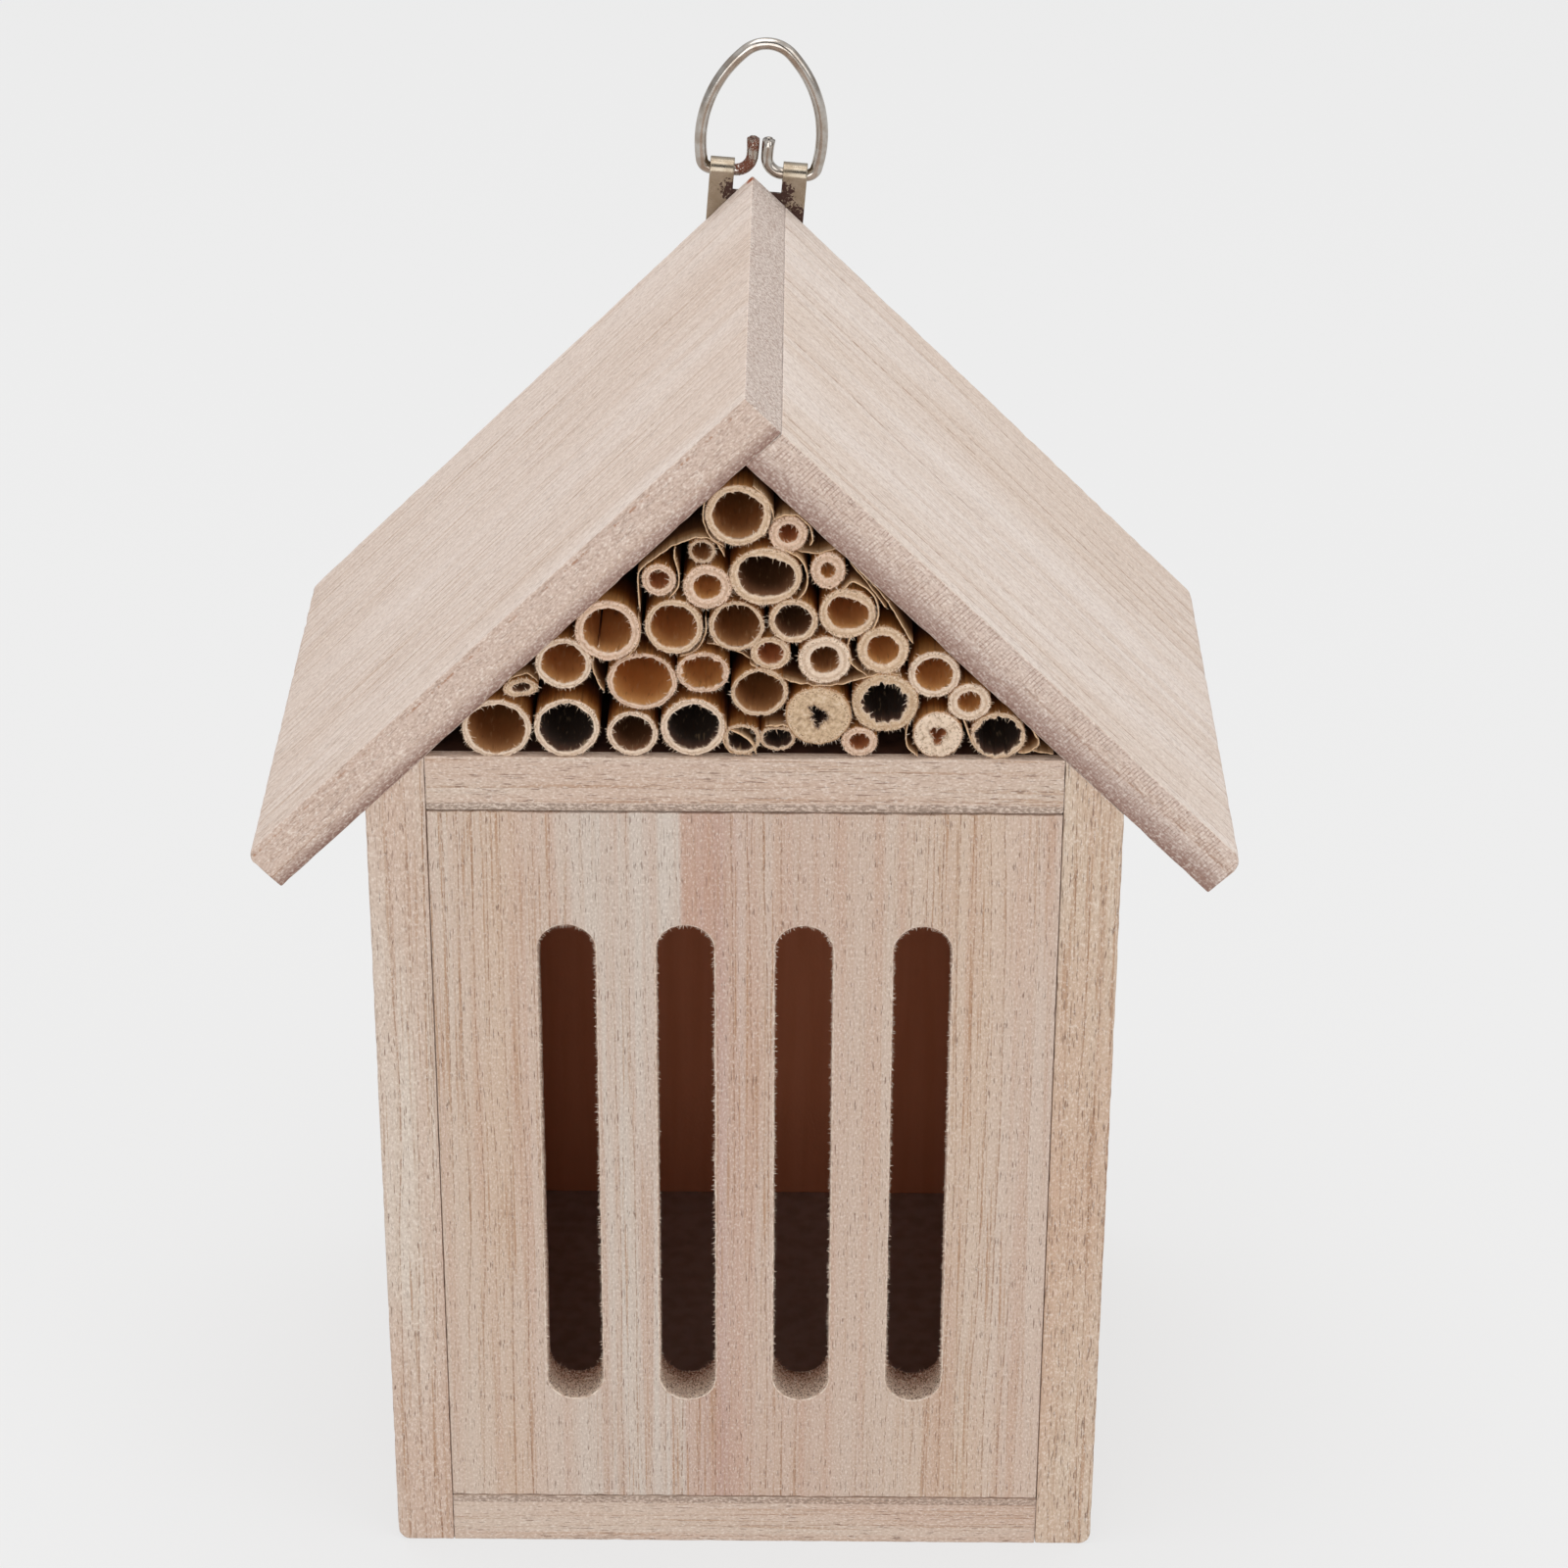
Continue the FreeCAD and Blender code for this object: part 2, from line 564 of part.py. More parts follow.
def make_hanger_plate():
    """A strap whose top is cut into two fingers that curl over the ring's wire."""
    body = new_body("hanger_plate")
    profile = new_sketch(body, "strap_profile", "YZ_Plane")
    inner = size("finger_inner")
    outer = size("finger_outer")
    foot = -size("plate_length")
    middle = Rotation(Vector(0, 0, 1), 180 - size("finger_wrap") / 2)
    end = Rotation(Vector(0, 0, 1), 180 - size("finger_wrap"))
    ray = Vector(1, 0, 0)
    profile.addGeometry(Part.LineSegment(Vector(-outer, foot, 0), Vector(-outer, 0, 0)))
    profile.addGeometry(Part.Arc(Vector(-outer, 0, 0), middle.multVec(ray) * outer,
                                 end.multVec(ray) * outer))
    profile.addGeometry(Part.LineSegment(end.multVec(ray) * outer, end.multVec(ray) * inner))
    profile.addGeometry(Part.Arc(end.multVec(ray) * inner, middle.multVec(ray) * inner,
                                 Vector(-inner, 0, 0)))
    profile.addGeometry(Part.LineSegment(Vector(-inner, 0, 0), Vector(-inner, foot, 0)))
    profile.addGeometry(Part.LineSegment(Vector(-inner, foot, 0), Vector(-outer, foot, 0)))
    hold_strap_profile(profile)
    strap = pad(body, profile, "plate_width")
    strap.SideType = "Symmetric"
    doc.recompute()

    notch = new_sketch(body, "strap_notch", "XZ_Plane", "-2 * finger_outer")
    draw_polygon(notch, [("-notch_width / 2", "-notch_depth"),
                         ("notch_width / 2", "-notch_depth"),
                         ("notch_width / 2", "2 * finger_outer"),
                         ("-notch_width / 2", "2 * finger_outer")])
    doc.recompute()
    pocket(body, notch, "4 * finger_outer", backwards=True)

    holes = new_sketch(body, "strap_holes", "XZ_Plane", "0")
    draw_circles(holes, [("0", "-screw_upper_drop"), ("0", "-screw_lower_drop")],
                 "screw_shank_radius")
    pocket(body, holes, "2 * finger_outer", backwards=True)

    corner = size("plate_width") / 2
    round_edges(body, "strap_corners", "plate_corner",
                lambda middle, way: near(abs(middle.x), corner) and near(middle.z, foot)
                and near(abs(way.y), 1))
    place_on_hanger(body)
    return body


def hold_strap_profile(profile):
    """Tie the strap's outline to the sheet: a flat, and a curl centred on the ring axis."""
    count = len(profile.Geometry)
    for first in range(count):
        join_ends(profile, first, (first + 1) % count)
    outline = [(0, "-finger_outer", "-plate_length"), (0, "-finger_outer", "0"),
               (4, "-finger_inner", "0"), (4, "-finger_inner", "-plate_length")]
    for (geometry, x, y), end in zip(outline, (1, 2, 1, 2)):
        pin_point(profile, geometry, end, x, y)
    for curl in (1, 3):
        profile.addConstraint(Sketcher.Constraint("Coincident", curl, 3, -1, 1))
    turn = "180 - finger_wrap"
    pin_distance(profile, "DistanceY", 2, 1, f"finger_outer * sin({turn})")
    pin_distance(profile, "DistanceY", 2, 2, f"finger_inner * sin({turn})")


def join_ends(sketch, first, second):
    """Join two neighbouring sketch elements at the pair of ends that meet."""
    def gap(pair):
        one = sketch.getPoint(first, pair[0])
        other = sketch.getPoint(second, pair[1])
        return (one - other).Length

    pairs = [(one, other) for one in (1, 2) for other in (1, 2)]
    first_end, second_end = min(pairs, key=gap)
    sketch.addConstraint(
        Sketcher.Constraint("Coincident", first, first_end, second, second_end))


def ring_path():
    """The ring's wire from one upturned end to the other, in the plane of X and Z."""
    half = size("ring_half_width")
    wide = size("ring_wide_height")
    top = size("ring_height")
    crown = size("ring_top_radius")
    corner = size("ring_corner_radius")
    bend = size("ring_end_bend")
    end_x = size("ring_end_gap") / 2
    end_z = size("ring_end_height")

    # The side arc is upright at the widest place and runs smoothly into the crown arc.
    rise = top - crown - wide
    flank = (half ** 2 + rise ** 2 - crown ** 2) / (2 * (half - crown))
    flank_x = half - flank
    crown_z = top - crown
    meet = Vector(flank_x, 0, wide)
    meet += (Vector(0, 0, crown_z) - meet).normalize() * flank

    # The corner arc touches the level foot of the ring and the side arc from inside.
    corner_x = flank_x + ((flank - corner) ** 2 - (corner - wide) ** 2) ** 0.5
    corner_centre = Vector(corner_x, 0, corner)
    low = Vector(flank_x, 0, wide)
    low += (corner_centre - low).normalize() * flank
    outward = (low - corner_centre).normalize() + Vector(0, 0, -1)

    def flipped(point):
        return Vector(-point.x, 0, point.z)

    tip = Vector(end_x, 0, end_z)
    tip_foot = Vector(end_x, 0, bend)
    bend_centre = Vector(end_x + bend, 0, bend)
    bend_middle = bend_centre + Vector(-1, 0, -1).normalize() * bend
    bend_end = Vector(end_x + bend, 0, 0)
    corner_start = Vector(corner_x, 0, 0)
    corner_middle = corner_centre + outward.normalize() * corner
    side_middle = Vector(half, 0, wide)
    right = [
        Part.LineSegment(tip, tip_foot),
        Part.Arc(tip_foot, bend_middle, bend_end),
        Part.LineSegment(bend_end, corner_start),
        Part.Arc(corner_start, corner_middle, low),
        Part.Arc(low, side_middle, meet),
    ]
    left = [
        Part.Arc(flipped(meet), flipped(side_middle), flipped(low)),
        Part.Arc(flipped(low), flipped(corner_middle), flipped(corner_start)),
        Part.LineSegment(flipped(corner_start), flipped(bend_end)),
        Part.Arc(flipped(bend_end), flipped(bend_middle), flipped(tip_foot)),
        Part.LineSegment(flipped(tip_foot), flipped(tip)),
    ]
    crown_arc = [Part.Arc(meet, Vector(0, 0, top), flipped(meet))]
    return Part.Wire([curve.toShape() for curve in right + crown_arc + left])


def make_hanger_ring():
    """One length of wire bent to an arch, its two ends turned up side by side."""
    path = ring_path()
    radius = size("wire_radius")
    start = path.Edges[0].firstVertex().Point
    profile = Part.Wire(Part.makeCircle(radius, start, Vector(0, 0, 1)))
    solid = path.makePipeShell([profile], True, False)
    swept = math.pi * radius ** 2 * path.Length
    if abs(solid.Volume / swept - 1) > SWEEP_TOLERANCE:
        raise RuntimeError("the ring's wire isn't as thick all the way round")
    ring = doc.addObject("Part::Feature", "hanger_ring")
    ring.Label = "hanger_ring"
    ring.Shape = solid
    place_on_hanger(ring)
    return ring


# ---------------------------------------------------------------- reeds

def make_reed(index):
    """A cut reed: bored from the front to a closed knot, and open again behind it."""
    own = f"reed_{index:02d}"
    across = f"{own}_across * reed_fit"
    height = f"shelf_top + {own}_height * reed_fit"
    front = f"front_face + {own}_recess"
    radius = f"{own}_radius * reed_fit"
    bore = f"{own}_bore * reed_fit"
    axis = Vector(1, 0, 0)
    stalk = make_cylinder(own + "_stalk", radius, "reed_length", axis, -90,
                          (across, front, height))
    entrance = make_cylinder(own + "_entrance", bore, f"reed_bore_depth + {BORE_OVERRUN}",
                             axis, -90, (across, f"{front} - {BORE_OVERRUN}", height))
    rear = make_cylinder(own + "_rear", bore,
                         f"reed_length - reed_rear_start + {BORE_OVERRUN}", axis, -90,
                         (across, f"{front} + reed_rear_start", height))
    bores = doc.addObject("Part::MultiFuse", own + "_bores")
    bores.Shapes = [entrance, rear]
    reed = doc.addObject("Part::Cut", own)
    reed.Label = own
    reed.Base = stalk
    reed.Tool = bores
    return reed


# ---------------------------------------------------------------- assembly and export

def check_document():
    for item in doc.Objects:
        if "Invalid" in item.State or "Error" in item.State:
            raise RuntimeError(f"{item.Name} failed: {item.State}")


def export(nodes):
    for node in nodes:
        if node.Shape.isNull() or not node.Shape.isValid():
            raise RuntimeError(f"{node.Label} has no sound shape")
    os.makedirs("parts", exist_ok=True)
    for node in nodes:
        node.Shape.exportStep(f"parts/{node.Label}.step")
        print(f"{node.Label}: {len(node.Shape.Solids)} solid(s), {node.Shape.Volume:.1f} mm3")


ALIASES = {name for name, _, _ in DIMENSIONS} | {name for name, _ in DERIVED}
ALIASES |= {f"reed_{index:02d}_{part}" for index in range(1, len(REEDS) + 1)
            for part in ("across", "height", "radius", "bore", "recess")}

fill_sheet()
parts = [
    make_side_board("side_left", -1),
    make_side_board("side_right", 1),
    make_floor_board(),
    make_shelf_board(),
    make_front_panel(),
    make_back_panel(),
    make_roof_board("roof_left", "0", "-roof_slant", -ROOF_ANGLE),
    make_roof_board("roof_right", "roof_thickness", "roof_slant", ROOF_ANGLE),
    make_wall_pins(),
    make_roof_pins(),
    make_back_pins(),
    make_hanger_plate(),
    make_group("hanger_screws", [make_screw("screw_upper", "screw_upper_drop"),
                                 make_screw("screw_lower", "screw_lower_drop")]),
    make_hanger_ring(),
]
parts += [make_reed(index) for index in range(1, len(REEDS) + 1)]
doc.recompute()
check_document()
export(parts)
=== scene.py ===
"""The look of a small wooden insect hotel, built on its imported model.

Every piece is in metres in the model's own frame: +X to the right seen from the front,
-Y out of the slotted front, +Z up. Sizes that a maker would read off a rule are in mm.
"""

import json
import math
import random

import bmesh
import bpy
from mathutils import Matrix, Vector, noise


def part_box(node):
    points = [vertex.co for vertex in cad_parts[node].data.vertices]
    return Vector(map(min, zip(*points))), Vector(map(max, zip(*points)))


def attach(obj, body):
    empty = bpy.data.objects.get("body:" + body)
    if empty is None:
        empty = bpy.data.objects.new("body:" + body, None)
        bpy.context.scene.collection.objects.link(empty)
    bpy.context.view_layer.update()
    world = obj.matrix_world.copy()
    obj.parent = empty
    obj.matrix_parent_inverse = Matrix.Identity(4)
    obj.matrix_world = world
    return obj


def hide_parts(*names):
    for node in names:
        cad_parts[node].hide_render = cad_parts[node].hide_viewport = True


MM = 0.001

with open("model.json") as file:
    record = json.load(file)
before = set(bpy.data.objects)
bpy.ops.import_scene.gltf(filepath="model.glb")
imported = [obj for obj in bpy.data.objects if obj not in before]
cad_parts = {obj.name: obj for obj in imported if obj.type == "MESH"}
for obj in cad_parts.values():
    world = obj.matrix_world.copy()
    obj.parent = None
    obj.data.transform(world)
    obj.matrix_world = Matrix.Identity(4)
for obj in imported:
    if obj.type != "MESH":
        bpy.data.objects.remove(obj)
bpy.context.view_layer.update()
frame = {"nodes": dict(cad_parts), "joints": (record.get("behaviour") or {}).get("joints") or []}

HOUSE = "house"
RING = "ring"


# ---------------------------------------------------------------- sizes from the model

def box_mm(node):
    """The lowest and highest corner of a model node, in mm."""
    low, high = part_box(node)
    return Vector(low) / MM, Vector(high) / MM


LEFT_LOW, LEFT_HIGH = box_mm("side_left")
PANEL_LOW, PANEL_HIGH = box_mm("front_panel")
SHELF_LOW, SHELF_HIGH = box_mm("shelf_board")
FLOOR_HIGH = box_mm("floor_board")[1]
BACK_LOW, BACK_HIGH = box_mm("back_panel")
ROOF_LOW, ROOF_HIGH = box_mm("roof_left")

HALF_WIDTH = -LEFT_LOW.x
HALF_INNER = -LEFT_HIGH.x
SIDE_TOP = LEFT_HIGH.z
FRONT_Y = LEFT_LOW.y
BACK_Y = BACK_HIGH.y
SHELF_TOP = SHELF_HIGH.z
UNDER_APEX = SIDE_TOP + HALF_INNER
RIDGE_Z = ROOF_HIGH.z
ROOF_THICKNESS = 10.0
EAVE_ROUND = 3.0
EAVE_X = ROOF_LOW.x - EAVE_ROUND * (math.sqrt(2) - 1)
FOOT_ROUND = 2.5
SLOT_WIDTH = 11.8
SLOT_PITCH = 23.9
SLOT_COUNT = 4
SLOT_MARGIN = 26.0
NAIL_HOLE_RADIUS = 0.68
NAIL_HOLE_DEPTH = 0.65
BACK_GAP = 0.3
PANEL_GAPS = (0.12, 0.3, 0.35)


# ---------------------------------------------------------------- nodes and colours

def linear(code):
    """A linear colour with full alpha from an sRGB hex value."""
    channels = [int(code[place:place + 2], 16) / 255 for place in (1, 3, 5)]
    return [c / 12.92 if c <= 0.04045 else ((c + 0.055) / 1.055) ** 2.4
            for c in channels] + [1.0]


def add(tree, kind, inputs=None, stops=None, **settings):
    """A node with its settings made and its inputs set or linked. A hex value is a colour."""
    node = tree.nodes.new(kind)
    for name, value in settings.items():
        setattr(node, name, value)
    for key, value in (inputs or {}).items():
        socket = node.inputs[key]
        if isinstance(value, bpy.types.NodeSocket):
            tree.links.new(value, socket)
        elif isinstance(value, bpy.types.Node):
            tree.links.new(value.outputs[0], socket)
        else:
            hexed = isinstance(value, str) and value.startswith("#")
            socket.default_value = linear(value) if hexed else value
    if stops:
        ramp = node.color_ramp
        while len(ramp.elements) < len(stops):
            ramp.elements.new(0.5)
        for element, (place, code) in zip(ramp.elements, stops):
            element.position = place
            element.color = linear(code) if isinstance(code, str) else (code, code, code, 1)
    return node


def maths(tree, operation, first, second=0.0, clamp=False):
    """One sum on two numbers."""
    return add(tree, "ShaderNodeMath", {0: first, 1: second},
               operation=operation, use_clamp=clamp)


def blend(tree, share, first, second, way="MIX"):
    """Two colours blended by a share; returns the colour socket."""
    node = add(tree, "ShaderNodeMix", {0: share, 6: first, 7: second},
               data_type="RGBA", blend_type=way)
    return node.outputs[2]


def fade(tree, value, low, high, start=0.0, end=1.0):
    """A number mapped smoothly from one range to another and held at its ends."""
    return add(tree, "ShaderNodeMapRange",
               {"Value": value, "From Min": low, "From Max": high,
                "To Min": start, "To Max": end}, interpolation_type="SMOOTHSTEP")


def new_material(name):
    """An empty node material with its shader and output; returns material, tree, shader."""
    material = bpy.data.materials.new(name)
    material.use_nodes = True
    tree = material.node_tree
    tree.nodes.clear()
    shader = add(tree, "ShaderNodeBsdfPrincipled")
    add(tree, "ShaderNodeOutputMaterial", {"Surface": shader})
    return material, tree, shader


def coat(tree, shader, base, relief, strength, height, roughness):
    """Give a shader its colour, its relief (height in mm) and its roughness."""
    bump = add(tree, "ShaderNodeBump",
               {"Height": relief, "Strength": strength, "Distance": height * MM})
    tree.links.new(base, shader.inputs["Base Color"])
    tree.links.new(bump.outputs[0], shader.inputs["Normal"])
    if isinstance(roughness, bpy.types.Node):
        tree.links.new(roughness.outputs[0], shader.inputs["Roughness"])
    else:
        shader.inputs["Roughness"].default_value = roughness


def in_mm(tree, turn=0.0, offset=(0, 0, 0), stretch=(1, 1, 1)):
    """Object coordinates in mm, turned about Y so that X runs along the grain."""
    place = add(tree, "ShaderNodeTexCoord").outputs["Object"]
    turned = add(tree, "ShaderNodeMapping",
                 {"Vector": place, "Rotation": (0, math.radians(turn), 0),
                  "Scale": (1000, 1000, 1000), "Location": offset})
    if stretch == (1, 1, 1):
        return turned.outputs[0]
    return add(tree, "ShaderNodeVectorMath", {0: turned, 1: stretch},
               operation="MULTIPLY").outputs[0]


def scaled(tree, vector, factors):
    """A vector with each axis scaled."""
    return add(tree, "ShaderNodeVectorMath", {0: vector, 1: factors},
               operation="MULTIPLY").outputs[0]


def attribute(tree, name):
    """A number that the mesh carries."""
    return add(tree, "ShaderNodeAttribute", attribute_name=name).outputs["Fac"]


# ---------------------------------------------------------------- wood

def grain(tree, place, along, across, detail=2.0, roughness=0.5):
    """Noise drawn out along the grain; along and across are its repeats in each mm."""
    return add(tree, "ShaderNodeTexNoise",
               {"Vector": scaled(tree, place, (along, across, across)), "Scale": 1.0,
                "Detail": detail, "Roughness": roughness})


def times(tree, *values):
    """The product of several numbers."""
    result = values[0]
    for value in values[1:]:
        result = maths(tree, "MULTIPLY", result, value)
    return result


def growth_rings(tree, place, heart, spacing, wander):
    """Growth rings round a heart: how late in its season the wood at a place grew, and the
    broken hairlines, about 0.2 mm wide, where the seasons end."""
    across = add(tree, "ShaderNodeVectorMath", {0: place, 1: (0, heart[0], heart[1])},
                 operation="SUBTRACT").outputs[0]
    radius = add(tree, "ShaderNodeVectorMath", {0: scaled(tree, across, (0, 1, 1))},
                 operation="LENGTH").outputs["Value"]
    drift = maths(tree, "MULTIPLY", grain(tree, place, 0.006, 0.025), wander)
    jitter = grain(tree, place, 0.02, 0.3)
    season = maths(tree, "FRACT", maths(tree, "DIVIDE", maths(
        tree, "ADD", maths(tree, "ADD", radius, drift), jitter), spacing))
    hairline = times(tree, fade(tree, season, 0.88, 0.95), fade(tree, season, 1.0, 0.95),
                     fade(tree, grain(tree, place, 0.45, 0.8), 0.38, 0.56))
    return fade(tree, season, 0.3, 0.95), hairline


def edge_marks(tree, base, place, frost, front_face, under, dotted, worn):
    """Marks along the edges that face forwards, as paulownia() describes them."""
    height = add(tree, "ShaderNodeSeparateXYZ", {0: place}).outputs["Z"]
    # Sawn front edges darker towards their lower arris.
    if under:
        low = times(tree, front_face, fade(tree, height, under[1], under[0]),
                    fade(tree, frost, 0.3, 0.6, 0.45, 0.9))
        base = blend(tree, low, base, "#846459")
    if dotted:
        line = times(tree, front_face, fade(tree, height, dotted - 0.4, dotted),
                     fade(tree, height, dotted + 0.4, dotted),
                     fade(tree, grain(tree, place, 0.14, 0.2), 0.42, 0.58),
                     fade(tree, grain(tree, place, 1.1, 0.9), 0.44, 0.56))
        base = blend(tree, times(tree, line, 0.75), base, "#9C6844")
    for low_z, high_z in worn:
        rubbed = times(tree, front_face, fade(tree, height, low_z - 0.3, low_z),
                       fade(tree, height, high_z + 0.3, high_z),
                       fade(tree, frost, 0.4, 0.6, 0.15, 0.8))
        base = blend(tree, rubbed, base, "#8E7B6E")
    return base


def saw_marks(tree, base, place, edge_face, strength):
    """Marks of the saw's teeth across the sawn edges, 0.85 mm apart."""
    length = add(tree, "ShaderNodeSeparateXYZ", {0: place}).outputs["X"]
    ripple = grain(tree, place, 0.5, 0.8)
    comb = maths(tree, "SINE", times(tree, maths(
        tree, "ADD", length, times(tree, ripple, 0.8)), 2 * math.pi / 0.85))
    mark = times(tree, edge_face, fade(tree, comb, 0.3, 0.95), fade(tree, ripple, 0.35, 0.6))
    return blend(tree, times(tree, mark, strength), base, "#8C6A5C")


def paulownia(name, turn, pale, warm, heart, spacing=3.0, offset=(0, 0, 0), lines=0.5,
              pores=0.6, blotch=0.5, brush=0.5, wander=5.0, staves=None, ticks=0.0, under=None,
              dotted=None, worn=(), edge="#C4AEA0", ends="#C4BAB4", scars=()):
    """Planed, unfinished paulownia: a pale silky wood with a pinkish cast, growth rings
    that show as broken hairlines in bands, and open pores drawn out as fine dashes.

    turn lays the grain along the board, in degrees. heart is the centre of the growth
    rings and spacing the wood between them, in mm; wander bends them. lines, pores, brush
    and ticks say how strong the rings, pores, brushed streaks and saw marks are. staves are
    (place across in mm, colour). under is the height range over which a sawn edge darkens
    towards its lower arris, dotted the height of a broken brown line, and worn the height
    ranges where sawn edges are rubbed grey. scars are (place in mm, size in mm, colour)."""
    material, tree, shader = new_material(name)
    place = in_mm(tree, turn, offset)
    edge_face = attribute(tree, "sawn")
    end_face = attribute(tree, "end_grain")
    rough_face = maths(tree, "MAXIMUM", edge_face, end_face)
    front_face = fade(tree, edge_face, 0.0, 0.2)
    long_face = maths(tree, "SUBTRACT", 1.0, end_face)

    zones = fade(tree, grain(tree, place, 0.004, 0.075), 0.40, 0.60)
    streak = grain(tree, place, 0.006, 0.33, 3.0)
    patches = grain(tree, place, 0.01, 0.045)
    late, hairline = growth_rings(tree, place, heart, spacing, wander)
    brushed = fade(tree, grain(tree, place, 0.022, 1.35, 3.0, 0.6), 0.54, 0.66)
    pore = fade(tree, grain(tree, place, 0.3, 3.6, 1.0), 0.64, 0.70)
    frost = grain(tree, place, 1.3, 2.5, 2.0, 0.6)
    dark_frost = fade(tree, frost, 0.52, 0.70)
    pale_frost = fade(tree, frost, 0.48, 0.32)

    if staves:
        spots = add(tree, "ShaderNodeSeparateXYZ",
                    {0: add(tree, "ShaderNodeTexCoord").outputs["Object"]})
        first = staves[0][0]
        span = staves[-1][0] - first
        reach = fade(tree, spots.outputs["X"], first * MM, (first + span) * MM)
        reach.interpolation_type = "LINEAR"
        base = add(tree, "ShaderNodeValToRGB", {0: reach},
                   stops=[((x - first) / span, code) for x, code in staves]).outputs[0]
        base = blend(tree, times(tree, fade(tree, patches, 0.42, 0.65), 0.3), base, pale)
    else:
        base = blend(tree, times(tree, fade(tree, patches, 0.36, 0.66), blotch), pale, warm)
    base = blend(tree, times(tree, fade(tree, streak, 0.45, 0.68), 0.7 * blotch), base, warm)

    # Sawn edges are pinker and rough; cut ends are greyer.
    base = blend(tree, times(tree, edge_face, 0.7), base, edge)
    base = blend(tree, times(tree, end_face, 0.85), base, ends)

    banded = times(tree, long_face, fade(tree, zones, 0, 1, 0.25, 1.0))
    base = blend(tree, times(tree, late, banded, 0.3 * lines), base, "#B8967A")
    base = blend(tree, times(tree, brushed, banded, brush), base, "#A98263")
    base = blend(tree, times(tree, hairline, banded, lines), base, "#8A5F40")
    base = blend(tree, times(tree, pore, long_face, pores), base, "#6A4A38")
    base = blend(tree, times(tree, dark_frost, fade(tree, rough_face, 0, 1, 0.28, 0.42)),
                 base, "#917666")
    base = blend(tree, times(tree, pale_frost, fade(tree, rough_face, 0, 1, 0.34, 0.5)),
                 base, "#F0E6DC")
    mottle = grain(tree, place, 0.7, 0.9, 4.0, 0.6)
    base = blend(tree, times(tree, fade(tree, mottle, 0.5, 0.66), rough_face, 0.4), base,
                 "#A58A7C")
    # Open pores seen end on, as specks about 0.4 mm wide.
    speck = grain(tree, place, 2.1, 2.1, 2.0)
    base = blend(tree, times(tree, fade(tree, speck, 0.52, 0.62), end_face, 0.5), base,
                 "#8C7062")
    base = blend(tree, times(tree, fade(tree, speck, 0.46, 0.36), end_face, 0.4), base,
                 "#E9DED6")

    base = edge_marks(tree, base, place, frost, front_face, under, dotted, worn)
    if ticks:
        base = saw_marks(tree, base, place, edge_face, ticks)
    for spot, size, code in scars:
        gap = add(tree, "ShaderNodeVectorMath",
                  {0: add(tree, "ShaderNodeTexCoord").outputs["Object"],
                   1: tuple(v * MM for v in spot)}, operation="DISTANCE").outputs["Value"]
        ragged = maths(tree, "ADD", gap, times(tree, frost, 0.0012))
        base = blend(tree, fade(tree, ragged, size * MM, size * 0.6 * MM), base, code)

    relief = maths(tree, "ADD", times(tree, frost, fade(tree, rough_face, 0, 1, 0.55, 1.3)),
                   times(tree, pore, long_face, -0.9))
    relief = maths(tree, "ADD", relief, times(tree, brushed, banded, -0.35))
    relief = maths(tree, "ADD", relief, times(tree, hairline, banded, -0.6))
    coat(tree, shader, base, relief, 0.5, 0.22, fade(tree, frost, 0.3, 0.7, 0.66, 0.86))
    shader.inputs["IOR"].default_value = 1.46
    return material


def inside_wood(name, light, dark):
    """Rough wood inside the house in a blend of its two colours, from a pale bare tone to the
    near black painted shade behind the reeds, with the grain only just showing as slow
    upright streaks."""
    material, tree, shader = new_material(name)
    streak = add(tree, "ShaderNodeTexNoise",
                 {"Vector": in_mm(tree, 90, stretch=(0.02, 0.3, 0.3)), "Scale": 1.0,
                  "Detail": 3.0})
    base = blend(tree, fade(tree, streak, 0.35, 0.7), light, dark)
    grit = add(tree, "ShaderNodeTexNoise", {"Vector": in_mm(tree), "Scale": 1.6})
    coat(tree, shader, base, grit, 0.3, 0.1, 0.85)
    shader.inputs["Specular IOR Level"].default_value = 0.2
    return material


def routed_slot():
    """The wall of a slot left by a blunt router bit: torn fuzzy grain, with pale specks painted
    in where it catches light at the front and painted shade that darkens it to brown towards
    the inside, where light from above doesn't reach."""
    material, tree, shader = new_material("paulownia_routed_slot")
    place = in_mm(tree)
    torn = add(tree, "ShaderNodeTexNoise",
               {"Vector": scaled(tree, place, (2.2, 1.5, 2.2)), "Scale": 1.0, "Detail": 4.0,
                "Roughness": 0.7})
    # Painted shade: the wall runs from pale at the front to dark brown further in, where light
    # from above doesn't reach.
    depth = add(tree, "ShaderNodeSeparateXYZ", {0: place}).outputs["Y"]
    inward = fade(tree, depth, FRONT_Y + 0.5, FRONT_Y + 12.5)
    painted_inward_shade = maths(tree, "ADD", inward, maths(tree, "MULTIPLY", maths(
        tree, "SUBTRACT", torn, 0.5), 0.9), clamp=True)
    base = add(tree, "ShaderNodeValToRGB", {0: painted_inward_shade},
               stops=[(0.0, "#F0D6C0"), (0.45, "#ECC2A6"), (0.75, "#D29E82"),
                      (0.92, "#8E5C46"), (1.0, "#40281E")]).outputs[0]
    base = blend(tree, fade(tree, torn, 0.51, 0.58, 0.0, 0.75), base, "#7E5540")
    # Painted highlight: near white specks where the torn fibres catch light.
    base = blend(tree, fade(tree, torn, 0.46, 0.40, 0.0, 0.85), base, "#FFEEDD")
    coat(tree, shader, base, torn, 1.0, 0.9, 0.92)
    return material


